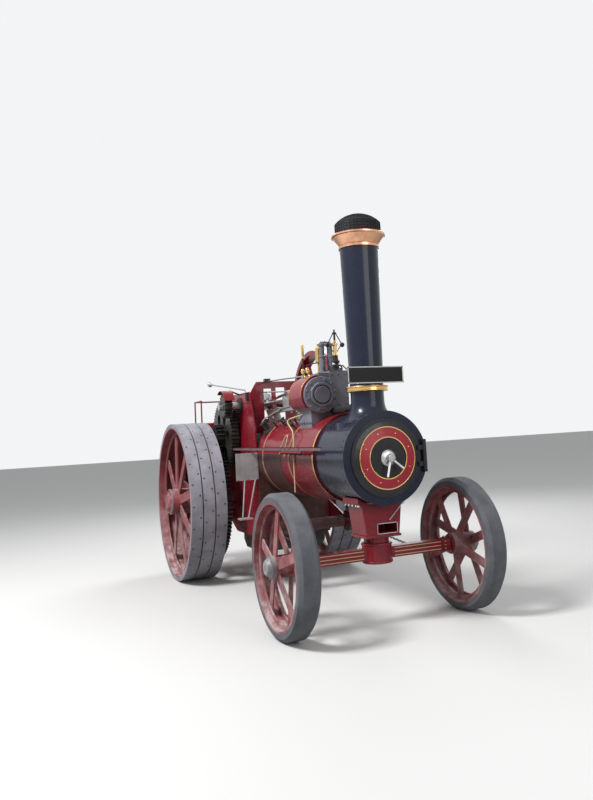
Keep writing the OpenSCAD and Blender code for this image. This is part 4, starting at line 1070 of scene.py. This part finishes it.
def make_side_bar():
    """Long angle bar on the right side with its brackets, in place of the plain solids."""
    bm = bmesh.new()
    face, web, rivet_z = -0.515, -0.508, 1.526
    block(bm, (-0.88, face, 1.511), (1.962, web, 1.541))
    block(bm, (-0.88, face, 1.535), (1.962, -0.49, 1.541))
    for x in (-0.82, -0.5, -0.1, 0.25, 0.6, 0.9, 1.6, 1.9):
        rivet(bm, (x, face, rivet_z), TO_RIGHT, 0.007)
    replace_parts(settle(bm, "side_bar_angle", "light_grey", material=BAR_GREY), "side_bar")
    bracket = bmesh.new()
    block(bracket, (0.94, web, 1.478), (1.5, -0.4072, 1.486))
    block(bracket, (0.94, web, 1.478), (1.5, -0.5, 1.535))
    block(bracket, (-0.34, web, 1.5), (-0.28, -0.4205, 1.535))
    for x in (0.98, 1.1, 1.22, 1.34, 1.46):
        nut(bracket, (x, -0.45, 1.478), (0, 0, -1), 0.011)
        rivet(bracket, (x, face, rivet_z), TO_RIGHT, 0.009)
    settle(bracket, "side_bar_brackets", "engine_red")


def make_gear_guard():
    """Light plate in front of the gears with its legs and step, in place of the plain solid."""
    bm = bmesh.new()
    front, middle, step_top = -0.0605, -0.063, 0.79
    block(bm, (-0.0655, -0.656, 1.19), (front, -0.405, 1.483))
    for y in (-0.64, -0.53, -0.425):
        for z in (1.205, 1.335, 1.468):
            if (y, z) != (-0.53, 1.335):
                rivet(bm, (front, y, z), TO_FRONT, 0.008)
    bar(bm, (middle, -0.56, 1.192), (middle, -0.6, step_top), 0.009)
    bar(bm, (middle, -0.44, 1.192), (middle, -0.535, step_top), 0.009)
    block(bm, (-0.125, -0.64, 0.775), (-0.01, -0.5, step_top))
    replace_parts(settle(bm, "gear_guard_plate", "light_grey", material=GUARD_GREY), "gear_guard")


# Horn plates, firebox and tender


def make_plate_rivets():
    """Rivets along the edges of the horn plates, the firebox and the cross plate."""
    bm = bmesh.new()
    middle, inset = Vector((-0.6, 0, 1.3)), 0.028
    for side in (-1, 1):
        out = (0, side, 0)
        for (x0, z0), (x1, z1) in zip(HORN_OUTLINE, HORN_OUTLINE[1:]):
            start, end = Vector((x0, 0, z0)), Vector((x1, 0, z1))
            along = (end - start).normalized()
            inward = Vector((along.z, 0, -along.x)) * inset
            if inward.dot(middle - start) < 0:
                inward = -inward
            inward.y = side * HORN_FACE
            rivet_row(bm, start + inward, end + inward, out, 0.01, 0.075, 0.03)
        y = side * HORN_FACE
        for x in (-0.1, -0.7):
            rivet_row(bm, (x, y, 0.62), (x, y, 1.5), out, 0.009, 0.07)
        for z in (0.62, 1.05):
            rivet_row(bm, (-0.14, y, z), (-0.66, y, z), out, 0.009)
        rivet_row(bm, (-0.06, side * 0.36, 0.62), (-0.06, side * 0.36, 1.16), TO_FRONT, 0.009, 0.06)
        rivet_row(bm, (-0.224, side * 0.37, 1.8), (-0.224, side * 0.37, 2.15), TO_FRONT, 0.009, 0.07)
    rivet_row(bm, (-0.06, -0.33, 0.6), (-0.06, 0.33, 0.6), TO_FRONT, 0.009, 0.06)
    settle(bm, "plate_rivets", "engine_red")


def make_tender_sheets():
    """The tender's sheets, lower than the plain solid's as the photo shows."""
    bm = bmesh.new()
    bm.from_mesh(frame["nodes"]["tender_body"].data)
    bmesh.ops.remove_doubles(bm, verts=bm.verts, dist=0.0001)
    for v in bm.verts:
        if v.co.z > TENDER_CAD_TOP - 0.003:
            v.co.z = TENDER_TOP
    bmesh.ops.dissolve_limit(bm, angle_limit=math.radians(1), verts=bm.verts[:], edges=bm.edges[:])
    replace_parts(settle(bm, "tender_sheets", "engine_red", bevel=0.002), "tender_body")


def make_tender_trim():
    """Rails, beading and rivets of the tender."""
    bm = bmesh.new()
    back, front, half, rail, bead = -2.324, -1.98, 0.524, 2.16, TENDER_TOP + 0.002
    for y in (-half, half):
        posts = [(front, y, TENDER_TOP), (front, y, rail), (back, y, rail), (back, y, TENDER_TOP)]
        tube(bm, posts, 0.01, 10)
        bar(bm, (front, y, bead), (back, y, bead), 0.012)
    for z, radius in ((rail, 0.01), (bead, 0.012)):
        bar(bm, (back, -half, z), (back, half, z), radius)
    for side in (-1, 1):
        y = side * 0.53
        for x in (-2.3, -2.000):
            rivet_row(bm, (x, y, 1.14), (x, y, 1.82), (0, side, 0))
        for z in (1.115, 1.05, 0.63):
            rivet_row(bm, (-2.3, y, z), (-1.57, y, z), (0, side, 0))
    for z in (0.63, 1.05, 1.115, 1.82):
        rivet_row(bm, (-2.33, -0.49, z), (-2.33, 0.49, z), TO_BACK)
    settle(bm, "tender_trim", "engine_red")


def make_backhead_fittings():
    """Gauge glasses, pressure gauge and try cocks of the back head."""
    brass = bmesh.new()
    glass = bmesh.new()
    plate, glass_x = -0.929, -0.976
    for y in (-0.29, 0.23):
        for z in (1.49, 1.61):
            bar(brass, (plate, y, z), (-0.985, y, z), 0.011, 12)
            bar(brass, (glass_x, y, z - 0.018), (glass_x, y, z + 0.018), 0.013, 12)
            bar(brass, (-0.985, y, z), (-1.000, y, z - 0.03), 0.005, 8)
        bar(glass, (glass_x, y, 1.5), (glass_x, y, 1.6), 0.008, 16)
    for z in (1.3, 1.4):
        bar(brass, (plate, 0.31, z), (-0.975, 0.31, z), 0.01, 12)
        bar(brass, (-0.968, 0.31, z + 0.016), (-0.968, 0.31, z - 0.03), 0.009, 12)
    gauge = [
        (0, 0.0), (0.048, 0.0), (0.054, 0.006), (0.054, 0.028), (0.05, 0.034), (0.045, 0.034),
        (0.044, 0.029), (0, 0.029),
    ]
    where = towards((BACKHEAD_FACE, 0.16, 1.775), TO_BACK)
    turned(brass, gauge, where, 40)
    settle(brass, "backhead_brass", "brass")
    turned(glass, [(0, 0.029), (0.0435, 0.029), (0.0435, 0.0305), (0, 0.0305)], where, 40)
    settle(glass, "gauge_faces", "cream", material=WHITE_EDGE)


def make_backhead_levers():
    """The gauge's needle, the regulator's handle, and the reversing lever with its stand and knobs."""
    dark = bmesh.new()
    boss = [(0, 0), (0.04, 0), (0.04, 0.008), (0.02, 0.014), (0.016, 0.034), (0, 0.036)]
    bar(dark, (-0.9605, 0.16, 1.775), (-0.9605, 0.186, 1.8), 0.002, 6)
    turned(dark, boss, towards((BACKHEAD_FACE, -0.06, 1.775), TO_BACK), 24)
    bar(dark, (-0.96, -0.06, 1.775), (-0.985, -0.27, 1.8), 0.008)
    block(dark, (-1.25, -0.385, 1.0995), (-1.000, -0.335, 1.112))
    for x in (-1.235, -1.015):
        for y in (-0.375, -0.345):
            rivet(dark, (x, y, 1.112), UPWARDS, 0.007)
    bar(dark, (-1.12, -0.36, 1.108), (-1.23, -0.36, 1.76), 0.011, 12)
    bar(dark, (-1.14, -0.38, 1.1), (-1.14, -0.38, 1.26), 0.01)
    bar(dark, (-1.1, -0.38, 1.252), (-1.22, -0.38, 1.262), 0.012)
    settle(dark, "driver_levers", "dark_iron")
    bright = bmesh.new()
    for end in ((-1.232, -0.36, 1.772), (-0.987, -0.278, 1.801)):
        ball(bright, end, 0.016)
    settle(bright, "lever_knobs", "bright_steel")


def make_pinion_cover():
    """Small curved cover over the crankshaft's pinion, held by the horn plate."""
    bm = bmesh.new()
    section = [(0.176, -0.655), (0.18, -0.655), (0.18, -0.53), (0.176, -0.53), (0.176, -0.655)]
    across = Matrix.Translation((CRANK.x, 0, CRANK.z)) @ Matrix.Rotation(-math.pi / 2, 4, "X")
    turned(bm, section, across, 64)
    cut(bm, (0, 0, CRANK.z + 0.06), (0, 0, -1))
    cut(bm, (CRANK.x - 0.11, 0, 0), TO_BACK)
    close_holes(bm)
    bar(bm, (CRANK.x, -0.4195, 2.15), (CRANK.x, -0.54, 2.199), 0.01)
    settle(bm, "pinion_cover", "engine_red")


# Floor and light


def camera_sees(tree):
    """1 for a ray of the camera, of a gloss or through glass, 0 for a ray that only lights."""
    path = wire(tree, "ShaderNodeLightPath")
    seen = calculate(tree, "ADD", path.outputs["Is Camera Ray"], path.outputs["Is Glossy Ray"])
    seen = calculate(tree, "ADD", seen, path.outputs["Is Transmission Ray"])
    return wire(tree, "ShaderNodeClamp", {"Value": seen}).outputs[0]


def make_floor():
    """A plain pale floor."""
    bm = bmesh.new()
    bmesh.ops.create_grid(bm, x_segments=1, y_segments=1, size=60)
    mesh = bpy.data.meshes.new("floor")
    bm.to_mesh(mesh)
    bm.free()
    material = bpy.data.materials.new("floor_paper")
    material.use_nodes = True
    tree = material.node_tree
    shader = tree.nodes["Principled BSDF"]
    colour = mix_colour(tree, camera_sees(tree), (0.3, 0.3, 0.29, 1), (0.8, 0.8, 0.79, 1))
    tree.links.new(colour, shader.inputs["Base Color"])
    shader.inputs["Roughness"].default_value = 0.9
    mesh.materials.append(material)
    floor = stand("floor", mesh)


def make_lamp(name, place, target, size, power):
    """A soft square lamp that points at a target."""
    data = bpy.data.lights.new(name, "AREA")
    data.size = size
    data.energy = power
    lamp = stand(name, data)
    lamp.location = place
    lamp.rotation_euler = (Vector(target) - Vector(place)).to_track_quat("-Z", "Y").to_euler()


def make_surroundings():
    """A pale world, which lights the object less than it shows."""
    world = bpy.data.worlds.new("studio")
    bpy.context.scene.world = world
    world.use_nodes = True
    tree = world.node_tree
    background = tree.nodes["Background"]
    lighting, shown = 0.34, 0.92
    strength = remap(tree, camera_sees(tree), 0.0, 1.0, lighting, shown)
    background.inputs["Color"].default_value = (0.97, 0.985, 1.0, 1)
    tree.links.new(strength, background.inputs["Strength"])


for make in (
    make_smokebox_rivets, make_door_edging, make_plate_edge, make_arrester_wires, make_boiler_lines,
    make_wheel_fasteners, make_cylinder_covers, make_cylinder_fasteners, make_safety_valves, make_governor,
    make_cylinder_pipework, make_cylinder_brass, make_perch_saddle, make_perch_neck, make_axle_details,
    make_steering_chains, make_side_bar, make_gear_guard, make_drain_pipes, make_control_rods,
    make_boiler_studs, make_boiler_side_shade_sheet, make_plate_rivets, make_tender_sheets, make_tender_trim,
    make_backhead_fittings, make_backhead_levers, make_chimney_band, make_pinion_cover, make_floor,
    make_surroundings,
):
    make()
make_lamp("key", (2.2, -7.0, 9.0), (0.3, 0, 1.2), 2.6, 1050)
make_lamp("fill", (9.5, 1.5, 4.0), (0.5, 0, 1.2), 4.0, 150)
make_lamp("back", (-6.0, 4.0, 6.5), (0, 0, 1.5), 4.0, 260)
bpy.context.scene.view_settings.view_transform = "Standard"
